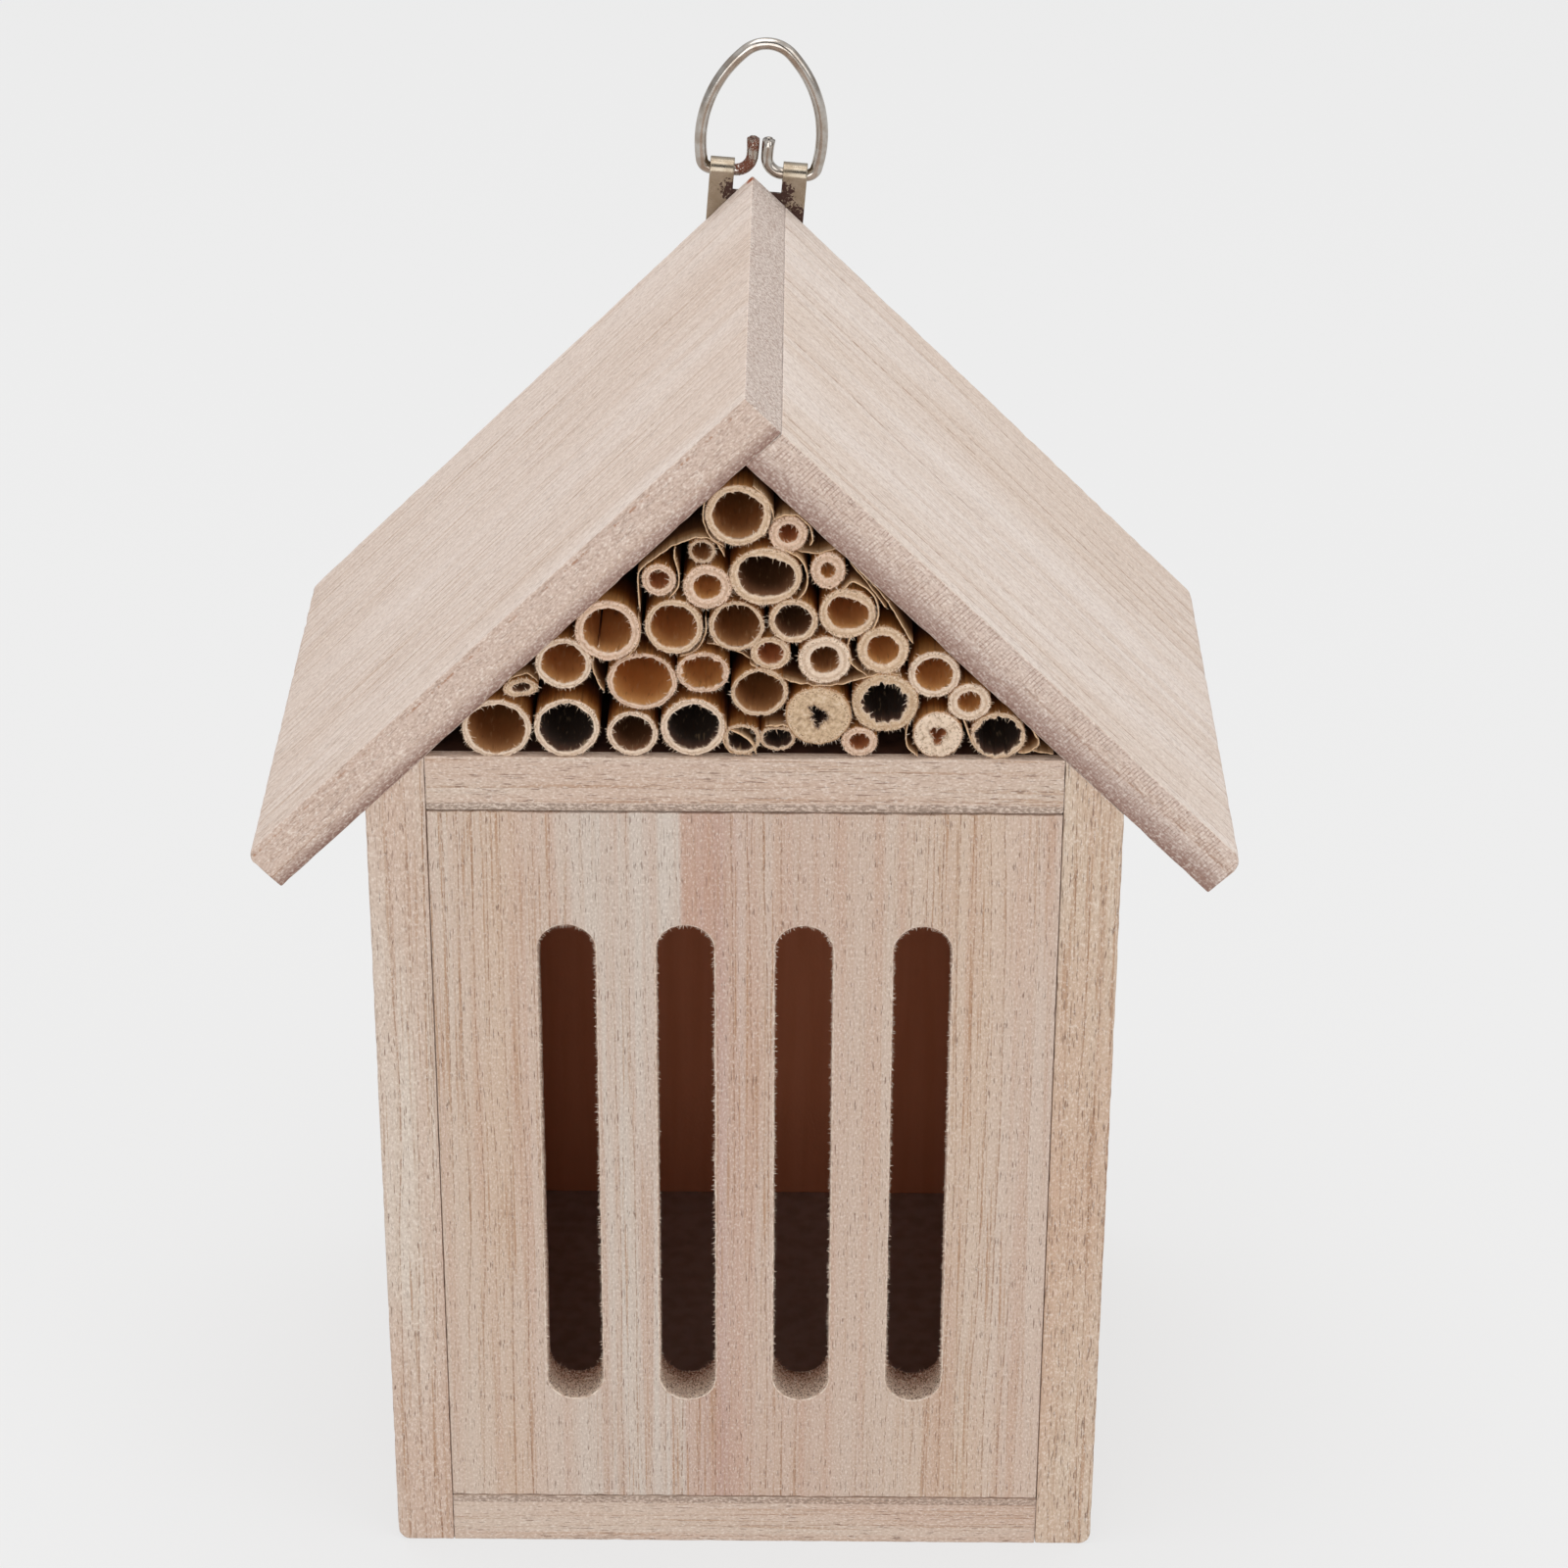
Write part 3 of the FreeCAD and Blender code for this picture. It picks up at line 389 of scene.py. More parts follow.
def torn_fibre(name, code, tip):
    """Loose wood or reed fibre standing off a cut: matt and pale. The real fibre is slightly
    see-through, and that light is painted in, so it is a shade lighter than the face it
    comes from."""
    material, tree, shader = new_material(name)
    tint = add(tree, "ShaderNodeTexNoise", {"Vector": in_mm(tree), "Scale": 0.9})
    base = blend(tree, fade(tree, tint, 0.35, 0.65), code, tip)
    tree.links.new(base, shader.inputs["Base Color"])
    shader.inputs["Roughness"].default_value = 0.8
    return material


# ---------------------------------------------------------------- reed

def reed_rim():
    """The sawn end of a dry reed: a cream wall with fibre bundles that show as brown dots
    under the skin, a glassy tan skin line outside and a bright torn inner lip."""
    material, tree, shader = new_material("dry_reed_cut_end")
    place = in_mm(tree)
    across = attribute(tree, "across")
    tint = add(tree, "ShaderNodeAttribute", attribute_name="rim_colour").outputs["Color"]
    foam = add(tree, "ShaderNodeTexNoise",
                {"Vector": place, "Scale": 2.3, "Detail": 4.0, "Roughness": 0.65})
    base = blend(tree, fade(tree, foam, 0.5, 0.3, 0.0, 0.7), tint, "#EAD9C8")
    base = blend(tree, fade(tree, foam, 0.52, 0.72, 0.0, 0.6), base, "#96745A")
    base = blend(tree, times(tree, fade(tree, across, 0.3, 0.45),
                             fade(tree, across, 0.72, 0.55), 0.4), base, "#A5805E")
    # Fibre bundles 0.45 mm apart in a band under the skin.
    bundles = add(tree, "ShaderNodeTexVoronoi",
                  {"Vector": scaled(tree, place, (2.3, 0.05, 2.3)), "Scale": 1.0})
    band = maths(tree, "MULTIPLY", fade(tree, across, 0.06, 0.12),
                 fade(tree, across, 0.42, 0.26))
    dots = maths(tree, "MULTIPLY", fade(tree, bundles.outputs["Distance"], 0.42, 0.25), band)
    base = blend(tree, maths(tree, "MULTIPLY", dots, 0.75), base, "#74522C")
    base = blend(tree, fade(tree, across, 0.1, 0.0, 0.0, 0.8), base, "#A0703F")
    base = blend(tree, fade(tree, across, 0.82, 1.0, 0.0, 0.55), base, "#EBD8C4")
    coat(tree, shader, base, foam, 0.8, 0.25, 0.85)
    return material


def reed_pith():
    """Dry pith that still fills a reed: a cream foam that crumbles to brown where the hollow
    begins, quite matt."""
    material, tree, shader = new_material("dry_reed_pith")
    place = in_mm(tree)
    foam = add(tree, "ShaderNodeTexNoise",
               {"Vector": place, "Scale": 1.1, "Detail": 5.0, "Roughness": 0.7})
    across = attribute(tree, "across")
    tint = add(tree, "ShaderNodeAttribute", attribute_name="rim_colour").outputs["Color"]
    base = blend(tree, fade(tree, foam, 0.45, 0.68, 0.0, 0.8), tint, "#94795C")
    base = blend(tree, fade(tree, foam, 0.5, 0.3, 0.0, 0.6), base, "#E6D3BC")
    base = blend(tree, fade(tree, across, 0.86, 1.0, 0.0, 0.6), base, "#6E4C34")
    coat(tree, shader, base, foam, 0.8, 0.4, 0.95)
    return material


def reed_skin():
    """The waxy skin of a dry reed: straw at the cut, amber and brown further in, then painted
    shade to near black deeper in the bundle, with fine lengthwise ribs and a dull gloss."""
    material, tree, shader = new_material("dry_reed_skin")
    depth = attribute(tree, "depth")
    ribs = add(tree, "ShaderNodeTexNoise",
               {"Vector": in_mm(tree, stretch=(2.2, 0.06, 2.2)), "Scale": 1.0,
                "Detail": 3.0})
    patches = add(tree, "ShaderNodeTexNoise",
                  {"Vector": in_mm(tree, stretch=(0.25, 0.12, 0.25)), "Scale": 1.0})
    reach = maths(tree, "ADD", depth, maths(tree, "MULTIPLY", maths(
        tree, "SUBTRACT", patches, 0.5), 7.0))
    # The skin's own straw, amber and brown near the cut, then painted shade to near black
    # further in, where the neighbouring reeds shade it.
    base = add(tree, "ShaderNodeValToRGB", {0: fade(tree, reach, 0.0, 24.0)},
               stops=[(0.0, "#C08A52"), (0.06, "#A9662C"), (0.2, "#7E421A"),
                      (0.5, "#3A1C0E"), (1.0, "#140B07")])
    base = blend(tree, fade(tree, ribs, 0.45, 0.7, 0.0, 0.5), base.outputs[0], "#5E3216")
    base = blend(tree, fade(tree, ribs, 0.42, 0.3, 0.0, 0.2), base, "#D89E5C")
    coat(tree, shader, base, ribs, 0.4, 0.15, 0.48)
    return material


def reed_bore():
    """The lining of a hollow reed: papery, pale at the mouth and darker further in, with
    torn scraps of membrane as lighter flecks."""
    material, tree, shader = new_material("dry_reed_lining")
    depth = attribute(tree, "depth")
    tint = add(tree, "ShaderNodeAttribute", attribute_name="bore_colour").outputs["Color"]
    paper = add(tree, "ShaderNodeTexNoise",
                {"Vector": in_mm(tree, stretch=(1.6, 0.25, 1.6)), "Scale": 1.0,
                 "Detail": 4.0})
    reach = maths(tree, "ADD", depth, maths(tree, "MULTIPLY", maths(
        tree, "SUBTRACT", paper, 0.5), 2.4))
    base = blend(tree, fade(tree, reach, 1.2, 0.1, 0.0, 0.4), tint, "#E4CBB0")
    base = blend(tree, fade(tree, paper, 0.55, 0.75, 0.0, 0.4), base, "#6A4024")
    base = blend(tree, fade(tree, paper, 0.42, 0.28, 0.0, 0.35), base, "#E8C79A")
    coat(tree, shader, base, paper, 0.5, 0.2, 0.6)
    return material


def reed_leaf():
    """A torn leaf sheath: thin straw paper with lengthwise veins, cream at its torn edge and
    brown further in, then painted shade to near black deeper in the bundle."""
    material, tree, shader = new_material("dry_reed_leaf_sheath")
    depth = attribute(tree, "depth")
    veins = add(tree, "ShaderNodeTexNoise",
                {"Vector": in_mm(tree, stretch=(2.0, 0.08, 2.0)), "Scale": 1.0,
                 "Detail": 3.0})
    # Cream and brown near the torn edge, then painted shade to near black further in, between
    # the reeds.
    base = add(tree, "ShaderNodeValToRGB", {0: fade(tree, depth, 0.0, 16.0)},
               stops=[(0.0, "#D0AE88"), (0.05, "#AE8052"), (0.2, "#744622"),
                      (1.0, "#1E110A")])
    base = blend(tree, fade(tree, veins, 0.5, 0.72, 0.0, 0.6), base.outputs[0], "#7C5028")
    coat(tree, shader, base, veins, 0.5, 0.15, 0.7)
    return material


# ---------------------------------------------------------------- metal

def plated_steel(name, colour, shade, roughness, rust_spots=(), rust="#5A2E1C", grit=3.0,
                 tarnish=0.3):
    """Nickel or zinc plate on steel: a bright warm grey metal, slightly cloudy, with brown
    rust bleeding from bare cut edges. rust_spots are (place in mm, reach in mm)."""
    material, tree, shader = new_material(name)
    place = in_mm(tree)
    cloud = add(tree, "ShaderNodeTexNoise", {"Vector": place, "Scale": 0.35, "Detail": 4.0})
    fine = add(tree, "ShaderNodeTexNoise",
               {"Vector": place, "Scale": grit, "Detail": 3.0, "Roughness": 0.7})
    base = blend(tree, fade(tree, cloud, 0.35, 0.65, 0.0, tarnish), colour, shade)
    rusty = None
    for spot, reach in rust_spots:
        gap = add(tree, "ShaderNodeVectorMath", {0: place, 1: spot},
                  operation="DISTANCE").outputs["Value"]
        near = fade(tree, gap, reach, reach * 0.25)
        rusty = maths(tree, "MAXIMUM", rusty, near) if rusty else near
    dull = fade(tree, cloud, 0.3, 0.7, roughness * 0.85, roughness * 1.25)
    if rusty:
        eaten = fade(tree, maths(tree, "ADD", fine, maths(tree, "MULTIPLY", rusty, 0.42)),
                     0.80, 0.84)
        base = blend(tree, eaten, base, rust)
        dull = maths(tree, "MAXIMUM", dull, maths(tree, "MULTIPLY", eaten, 0.75))
        tree.links.new(maths(tree, "SUBTRACT", 1.0, maths(
            tree, "MULTIPLY", eaten, 0.85)).outputs[0], shader.inputs["Metallic"])
    else:
        shader.inputs["Metallic"].default_value = 1.0
    coat(tree, shader, base, fine, 0.2, 0.06, dull)
    return material


# ---------------------------------------------------------------- meshes

def new_piece(name, mesh, *materials):
    """An object at the origin that shows a mesh with these materials."""
    piece = bpy.data.objects.new(name, mesh)
    bpy.context.scene.collection.objects.link(piece)
    for material in materials:
        mesh.materials.append(material)
    return piece


def mesh_of(shape, name):
    """A mesh made from a bmesh, which is then freed."""
    mesh = bpy.data.meshes.new(name)
    shape.to_mesh(mesh)
    shape.free()
    return mesh


def face_outwards(mesh):
    """Turn the faces of a closed mesh outwards."""
    shape = bmesh.new()
    shape.from_mesh(mesh)
    bmesh.ops.recalc_face_normals(shape, faces=shape.faces)
    shape.to_mesh(mesh)
    shape.free()


def join_loops(shape, loops):
    """Faces between closed loops that have the same number of points."""
    for near_loop, far_loop in zip(loops, loops[1:]):
        for k in range(len(near_loop)):
            nxt = (k + 1) % len(near_loop)
            shape.faces.new((near_loop[k], near_loop[nxt], far_loop[nxt], far_loop[k]))


def ease_edges(piece, width, angle):
    """Round off a piece's edges sharper than an angle; width in mm."""
    easing = piece.modifiers.new("eased_edges", "BEVEL")
    easing.width = width * MM
    easing.segments = 2
    easing.limit_method = "ANGLE"
    easing.angle_limit = math.radians(angle)


def cut_out(piece, cutter_mesh, solver):
    """Cut the shape of a closed mesh out of a piece."""
    cutter = new_piece(cutter_mesh.name, cutter_mesh)
    cut = piece.modifiers.new("cut", "BOOLEAN")
    cut.operation = "DIFFERENCE"
    cut.solver = solver
    cut.object = cutter
    settle(piece)
    bpy.data.objects.remove(cutter)


def settle(piece):
    """Put a piece's modifiers into its mesh."""
    graph = bpy.context.evaluated_depsgraph_get()
    finished = bpy.data.meshes.new_from_object(piece.evaluated_get(graph))
    piece.modifiers.clear()
    old = piece.data
    piece.data = finished
    finished.name = piece.name
    bpy.data.meshes.remove(old)
    return piece


def spaced(corners, step):
    """Points about one step apart along a closed outline, its corners kept."""
    points = []
    for index, corner in enumerate(corners):
        start = Vector(corner)
        end = Vector(corners[(index + 1) % len(corners)])
        count = max(1, round((end - start).length / step))
        points += [start.lerp(end, k / count) for k in range(count)]
    return points


def arc(centre, radius, start, end, count):
    """Points on an arc, angles in degrees from +X towards +Z."""
    angles = [math.radians(start + (end - start) * k / count) for k in range(count + 1)]
    return [(centre[0] + radius * math.cos(a), centre[1] + radius * math.sin(a))
            for a in angles]


def store(mesh, name, values, domain="POINT", kind="FLOAT"):
    """Give a mesh one value for each of its points or faces."""
    layer = mesh.attributes.new(name, kind, domain)
    for item, value in zip(layer.data, values):
        if kind == "FLOAT":
            item.value = value
        elif kind == "FLOAT_VECTOR":
            item.vector = value
        else:
            item.color = value


def pin_heads(node, side=0):
    """The outer end of each nail of a model node and its way in. side keeps only the
    nails driven in from that side in X; 0 takes those driven in from the back."""
    shape = bmesh.new()
    shape.from_mesh(frame["nodes"][node].data)
    heads = []
    seen = set()
    for first in shape.verts:
        if first in seen:
            continue
        seen.add(first)
        nail = [first]
        for vertex in nail:
            for edge in vertex.link_edges:
                other = edge.other_vert(vertex)
                if other not in seen:
                    seen.add(other)
                    nail.append(other)
        middle = sum((v.co for v in nail), Vector()) / len(nail) / MM
        if side == 0:
            heads.append((Vector((middle.x, BACK_Y, middle.z)), (0, -1, 0)))
        elif middle.x * side > 0:
            heads.append((Vector((side * HALF_WIDTH, middle.y, middle.z)), (-side, 0, 0)))
    shape.free()
    return heads


def sink_nails(piece, places):
    """Small round nail holes in a piece. places are (point in mm, direction inwards)."""
    for point, way in places:
        hole = bmesh.new()
        bmesh.ops.create_cone(hole, cap_ends=True, segments=20, radius1=NAIL_HOLE_RADIUS * MM,
                              radius2=NAIL_HOLE_RADIUS * MM, depth=2 * NAIL_HOLE_DEPTH * MM)
        turn = Vector(way).to_track_quat("Z", "Y").to_matrix().to_4x4()
        bmesh.ops.transform(hole, verts=hole.verts,
                            matrix=Matrix.Translation(Vector(point) * MM) @ turn)
        cut_out(piece, mesh_of(hole, "nail_hole"), "MANIFOLD")


def wood_board(name, corners, low_y, high_y, along, material, inside=None, inside_tone=None,
               arris=0.4, wear=0.16, sawn=1.0, step=2.5, nails=()):
    """A board with its outline in X and Z, sawn through from low_y to high_y, in mm.

    along is the way of its grain. Its arrises are eased and knocked about a little. Faces
    that inside() picks get the inside tone, which on the shelf and roof boards is painted
    shade; sawn says how rough the front and back faces are."""
    outline = spaced(corners, step)
    rows = max(2, round((high_y - low_y) / step))
    shape = bmesh.new()
    loops = []
    for row in range(rows + 1):
        y = low_y + (high_y - low_y) * row / rows
        loops.append([shape.verts.new((p.x * MM, y * MM, p.y * MM)) for p in outline])
    join_loops(shape, loops)
    shape.faces.new(loops[0])
    shape.faces.new(loops[-1])
    bmesh.ops.recalc_face_normals(shape, faces=shape.faces)
    piece = new_piece(name, mesh_of(shape, name), material, *([inside_tone] if inside_tone else []))
    ease_edges(piece, arris, 25)
    settle(piece)
    sink_nails(piece, nails)
    mark_faces(piece.data, along, sawn, inside)
    knock_about(piece.data, corners, low_y, high_y, wear)
    piece.data.shade_smooth()
    add_sharpness(piece)
    return piece


def mark_faces(mesh, along, sawn, inside):
    """Tell the wood which faces are sawn edges and which are end grain."""
    way = Vector(along).normalized()
    ends = []
    edges = []
    for face in mesh.polygons:
        ends.append(1.0 if abs(face.normal.dot(way)) > 0.6 else 0.0)
        edges.append(sawn if abs(face.normal.y) > 0.6 else 0.0)
        if inside and inside(face.center / MM, face.normal):
            face.material_index = 1
    store(mesh, "end_grain", ends, "FACE")
    store(mesh, "sawn", edges, "FACE")


def knock_about(mesh, corners, low_y, high_y, wear):
    """Dent the arrises by a small uneven amount, as handling does."""
    lines = [(Vector(a), Vector(b)) for a, b in zip(corners, corners[1:] + corners[:1])]
    for vertex in mesh.vertices:
        place = vertex.co / MM
        spot = Vector((place.x, place.z))
        rim = min(((spot - a) - (b - a) * max(0.0, min(1.0, (spot - a).dot(b - a)
                   / (b - a).length_squared))).length for a, b in lines)
        corner = min((spot - a).length for a, _ in lines)
        cap = min(place.y - low_y, high_y - place.y)
        near_edge = min(max(rim, cap), corner)
        if near_edge < 0.8:
            push = noise.noise(place * 0.35) * 0.6 + noise.noise(place * 1.3) * 0.5
            vertex.co -= vertex.normal * max(0.0, push) * wear * MM * 2


def add_sharpness(piece):
    """Flat faces stay flat beside the eased arrises."""
    tidy = piece.modifiers.new("flat_faces", "WEIGHTED_NORMAL")
    tidy.keep_sharp = True
    settle(piece)


# ---------------------------------------------------------------- finishes

ROOF_LEFT_WOOD = paulownia(
    "planed_paulownia_roof_left", 45, "#D8C9BF", "#CDB8A9", (-700, 800), spacing=2.0,
    offset=(40, 0, 0), lines=0.65, pores=0.35, blotch=0.45, brush=0.5, edge="#C6AC9C",
    ends="#BDAEA5", under=(181.0, 184.5), dotted=189.4,
    scars=[((-0.8, 58.4, 269.4), 2.1, "#97491F")])
ROOF_RIGHT_WOOD = paulownia(
    "planed_paulownia_roof_right", -45, "#DACDC4", "#CDB9A9", (900, 900), spacing=5.0,
    offset=(0, 13, 0), lines=0.6, pores=0.3, blotch=0.6, brush=0.35, wander=9.0, ticks=0.55,
    under=(181.2, 187.5), edge="#CFB9AC")
LEFT_WOOD = paulownia(
    "planed_paulownia_left_side", 90, "#D0C2B4", "#C2A592", (-600, 600), spacing=2.4,
    offset=(11, 3, 0), lines=0.7, pores=0.7, blotch=0.95, brush=0.7, edge="#CDBAAC")
RIGHT_WOOD = paulownia(
    "planed_paulownia_right_side", 90, "#CDBAA6", "#C19F87", (-600, -600), spacing=2.2,
    offset=(70, 7, 0), lines=0.6, pores=0.7, blotch=0.8, brush=0.7, edge="#C9B19D")
CROSS_WOOD = paulownia(
    "planed_paulownia_cross_boards", 0, "#CCBBAB", "#C2A694", (-500, 600), spacing=2.2,
    offset=(5, 0, 0), lines=0.6, pores=0.6, blotch=0.9, brush=0.65, edge="#C8B0A1",
    worn=[(FLOOR_HIGH.z - 1.6, FLOOR_HIGH.z), (SHELF_LOW.z, SHELF_LOW.z + 1.6)])
FRONT_WOOD = paulownia(
    "planed_paulownia_front_panel", 90, "#C6B7AB", "#B68E77", (200, 900), spacing=3.1,
    offset=(33, 0, 0), lines=0.7, pores=0.7, blotch=0.6, brush=0.8, wander=9.0,
    staves=[(-63, "#C7B3A3"), (-50, "#C5AC98"), (-44, "#C5AE9E"), (-30, "#C5B7AB"),
            (-12.95, "#C6B9AE"), (-12.65, "#BA9B8B"), (-9, "#BA998A"), (-5, "#B28E81"),
            (-2, "#BDA092"), (3, "#C1A898"), (14, "#C0A797"), (30, "#C4AF9F"),
            (47, "#C6AE9A"), (55, "#C8B2A2"), (63, "#C6AF9F")])
BACK_WOOD = paulownia(
    "sanded_plywood_back_panel", 90, "#CDB89F", "#BD9F80", (200, 900), spacing=9.0,
    offset=(0, 0, 9), lines=0.5, pores=0.5, blotch=0.7, edge="#B79A7C")
INSIDE_WALL = inside_wood("reddish_inside_of_back_panel", "#C47856", "#BE7250")
INSIDE_BARE = inside_wood("bare_inside_walls", "#D8C2AA", "#CDB296")
INSIDE_FLOOR = inside_wood("dark_inside_of_floor", "#A98F84", "#9C8276")
# Painted shade: near black wood for the shelf top and the roof undersides behind the reeds,
# where the bundle and the roof shade them.
PAINTED_SHADE_BEHIND_REEDS = inside_wood("painted_shade_behind_reeds", "#4A3024", "#382219")
SLOT_WALL = routed_slot()
WOOD_FUZZ = torn_fibre("torn_wood_fibre", "#C2A896", "#E2D2C2")
REED_FUZZ = torn_fibre("torn_reed_fibre", "#D2B294", "#EEDCC8")
RIM = reed_rim()
PITH = reed_pith()
SKIN = reed_skin()
BORE = reed_bore()
LEAF = reed_leaf()


# ---------------------------------------------------------------- boards

def in_chamber(centre, normal):
    """Faces of the boards that look into the closed lower chamber."""
    within = abs(centre.x) <= HALF_INNER + 0.2 and centre.y > PANEL_HIGH.y - 0.5
    return within and FLOOR_HIGH.z - 0.3 < centre.z < SHELF_LOW.z + 0.3


def behind_reeds(centre, normal):
    """The top of the shelf where the reeds lie, which gets the painted shade."""
    return normal.z > 0.7 and centre.y > FRONT_Y + 3.5


def in_gable(centre, normal):
    """Undersides of the roof boards behind the reeds' cut ends, which get the painted shade."""
    return normal.z < -0.5 and abs(centre.x) < HALF_INNER and centre.y > FRONT_Y + 5


def side_corners(side):
    """Outline of a side board, its top cut to the roof's slope and its foot eased."""
    outer = side * HALF_WIDTH
    inner = side * HALF_INNER
    top = SIDE_TOP - (HALF_WIDTH - HALF_INNER)
    foot = arc((side * (HALF_WIDTH - FOOT_ROUND), FOOT_ROUND), FOOT_ROUND,
               -90, -180 if side < 0 else 0, 5)
    return foot + [(outer, top), (inner, SIDE_TOP), (inner, 0.0)]


def roof_corners(side):
    """Outline of a roof board. The left one reaches the ridge and laps the right one."""
    down = Vector((side, -1)).normalized()
    out = Vector((side, 1)).normalized()
    ridge = Vector((0, RIDGE_Z))
    start = ridge if side < 0 else ridge + down * ROOF_THICKNESS
    slant = abs(EAVE_X) * math.sqrt(2)
    eave = ridge + down * slant
    bend = eave - down * EAVE_ROUND - out * EAVE_ROUND
    angles = (135, 225) if side < 0 else (45, -45)
    rounded = arc(bend, EAVE_ROUND, angles[0], angles[1], 6)
    under = eave - out * ROOF_THICKNESS
    if side < 0:
        close = ridge + Vector((1, -1)).normalized() * ROOF_THICKNESS
    else:
        close = Vector((0, UNDER_APEX))
    return [tuple(start)] + rounded + [tuple(under), tuple(close)]


def make_boards():
    """The side boards, shelf, floor and roof boards."""
    boards = []
    for side, node, wood in ((-1, "side_left", LEFT_WOOD), (1, "side_right", RIGHT_WOOD)):
        low, high = box_mm(node)
        piece = wood_board(node.replace("side", "wall"), side_corners(side), low.y, high.y,
                           (0, 0, 1), wood, in_chamber, INSIDE_BARE, sawn=0.25,
                           nails=pin_heads("wall_pins", side))
        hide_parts(node)
        boards.append(piece)
    for name, node, inside, inside_tone in (
            ("ground_board", "floor_board", in_chamber, INSIDE_FLOOR),
            ("reed_shelf", "shelf_board", behind_reeds, PAINTED_SHADE_BEHIND_REEDS)):
        low, high = box_mm(node)
        corners = [(low.x, low.z), (high.x, low.z), (high.x, high.z), (low.x, high.z)]
        piece = wood_board(name, corners, low.y, high.y, (1, 0, 0), CROSS_WOOD, inside, inside_tone,
                           sawn=0.35)
        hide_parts(node)
        boards.append(piece)
    for side, node, wood in ((-1, "roof_left", ROOF_LEFT_WOOD),
                             (1, "roof_right", ROOF_RIGHT_WOOD)):
        low, high = box_mm(node)
        piece = wood_board(node + "_board", roof_corners(side), low.y, high.y,
                           (1, 0, -side), wood, in_gable, PAINTED_SHADE_BEHIND_REEDS, wear=0.22)
        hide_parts(node)
        boards.append(piece)
    for piece in boards:
        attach(piece, HOUSE)


def slot_outline(middle, low, high, rng, step=0.6):
    """The uneven outline of one routed slot, its straight sides a little wavy."""
    half = SLOT_WIDTH / 2
    top = arc((middle, high - half), half, 0, 180, 30)
    bottom = arc((middle, low + half), half, 180, 360, 30)
    smooth = spaced(top + bottom, step)
    seed = rng.uniform(0, 90)
    points = []
    for p in smooth:
        inward = Vector((middle - p.x, 0)) if low + half < p.y < high - half else (
            Vector((middle, high - half if p.y > (low + high) / 2 else low + half)) - p)
        inward.normalize()
        wave = noise.noise(Vector((p.x * 0.2 + seed, p.y * 0.2, 0))) * 0.12
        nick = noise.noise(Vector((p.x * 1.7, p.y * 1.7, seed))) * 0.16
        points.append((p + inward * (wave + max(0.0, nick)), inward))
    return points


def flat_plate(name, loops, low_y, high_y, easing):
    """A plate with holes: closed outlines in X and Z, filled, with eased edges, in mm."""
    curve = bpy.data.curves.new(name, "CURVE")
    curve.dimensions = "2D"
    curve.fill_mode = "BOTH"
    curve.extrude = ((high_y - low_y) / 2 - easing) * MM
    curve.bevel_depth = easing * MM
    curve.bevel_resolution = 1
    curve.offset = -easing * MM
    for loop in loops:
        line = curve.splines.new("POLY")
        line.points.add(len(loop) - 1)
        for point, spot in zip(line.points, loop):
            point.co = (spot[0] * MM, spot[1] * MM, 0, 1)
        line.use_cyclic_u = True
    holder = bpy.data.objects.new(name, curve)
    bpy.context.scene.collection.objects.link(holder)
    graph = bpy.context.evaluated_depsgraph_get()
    mesh = bpy.data.meshes.new_from_object(holder.evaluated_get(graph))
    bpy.data.objects.remove(holder)
    middle = (low_y + high_y) / 2 * MM
    stand = Matrix.Translation((0, middle, 0)) @ Matrix.Rotation(math.pi / 2, 4, "X")
    shape = bmesh.new()
    shape.from_mesh(mesh)
    bmesh.ops.transform(shape, matrix=stand, verts=shape.verts)
    bmesh.ops.remove_doubles(shape, verts=shape.verts, dist=1e-6)
    bmesh.ops.recalc_face_normals(shape, faces=shape.faces)
    shape.to_mesh(mesh)
    shape.free()
    return mesh


def make_front_panel(slots):
    """The slotted front panel, a hair smaller than its opening so that dark joints show."""
    low, high = PANEL_LOW, PANEL_HIGH
    beside, below, above = PANEL_GAPS
    frame_line = spaced([(low.x + beside, low.z + below), (high.x - beside, low.z + below),
                         (high.x - beside, high.z - above),
                         (low.x + beside, high.z - above)], 1.6)
    uneven = []
    for p in frame_line:
        sway = noise.noise(Vector((p.x * 0.4, p.y * 0.02, 4.0))) * 0.3
        uneven.append((p.x, p.y + (sway if abs(p.x) < HALF_INNER - 1 else 0.0)))
    loops = [uneven] + [[tuple(p) for p, _ in slot] for slot in slots]
    mesh = flat_plate("slotted_front", loops, low.y, high.y, 0.25)
    piece = new_piece("slotted_front", mesh, FRONT_WOOD, INSIDE_BARE, SLOT_WALL, WOOD_FUZZ)
    for face in mesh.polygons:
        centre = face.center / MM
        by_slot = abs(centre.x) < HALF_INNER - 5 and low.z + 5 < centre.z < high.z - 5
        if face.normal.y > 0.7:
            face.material_index = 1
        elif by_slot and abs(face.normal.y) < 0.2:
            face.material_index = 2
        elif by_slot and -0.95 < face.normal.y:
            face.material_index = 3
    mark = [0.0] * len(mesh.polygons)
    store(mesh, "sawn", mark, "FACE")
    store(mesh, "end_grain", mark, "FACE")
    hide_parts("front_panel")
    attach(piece, HOUSE)


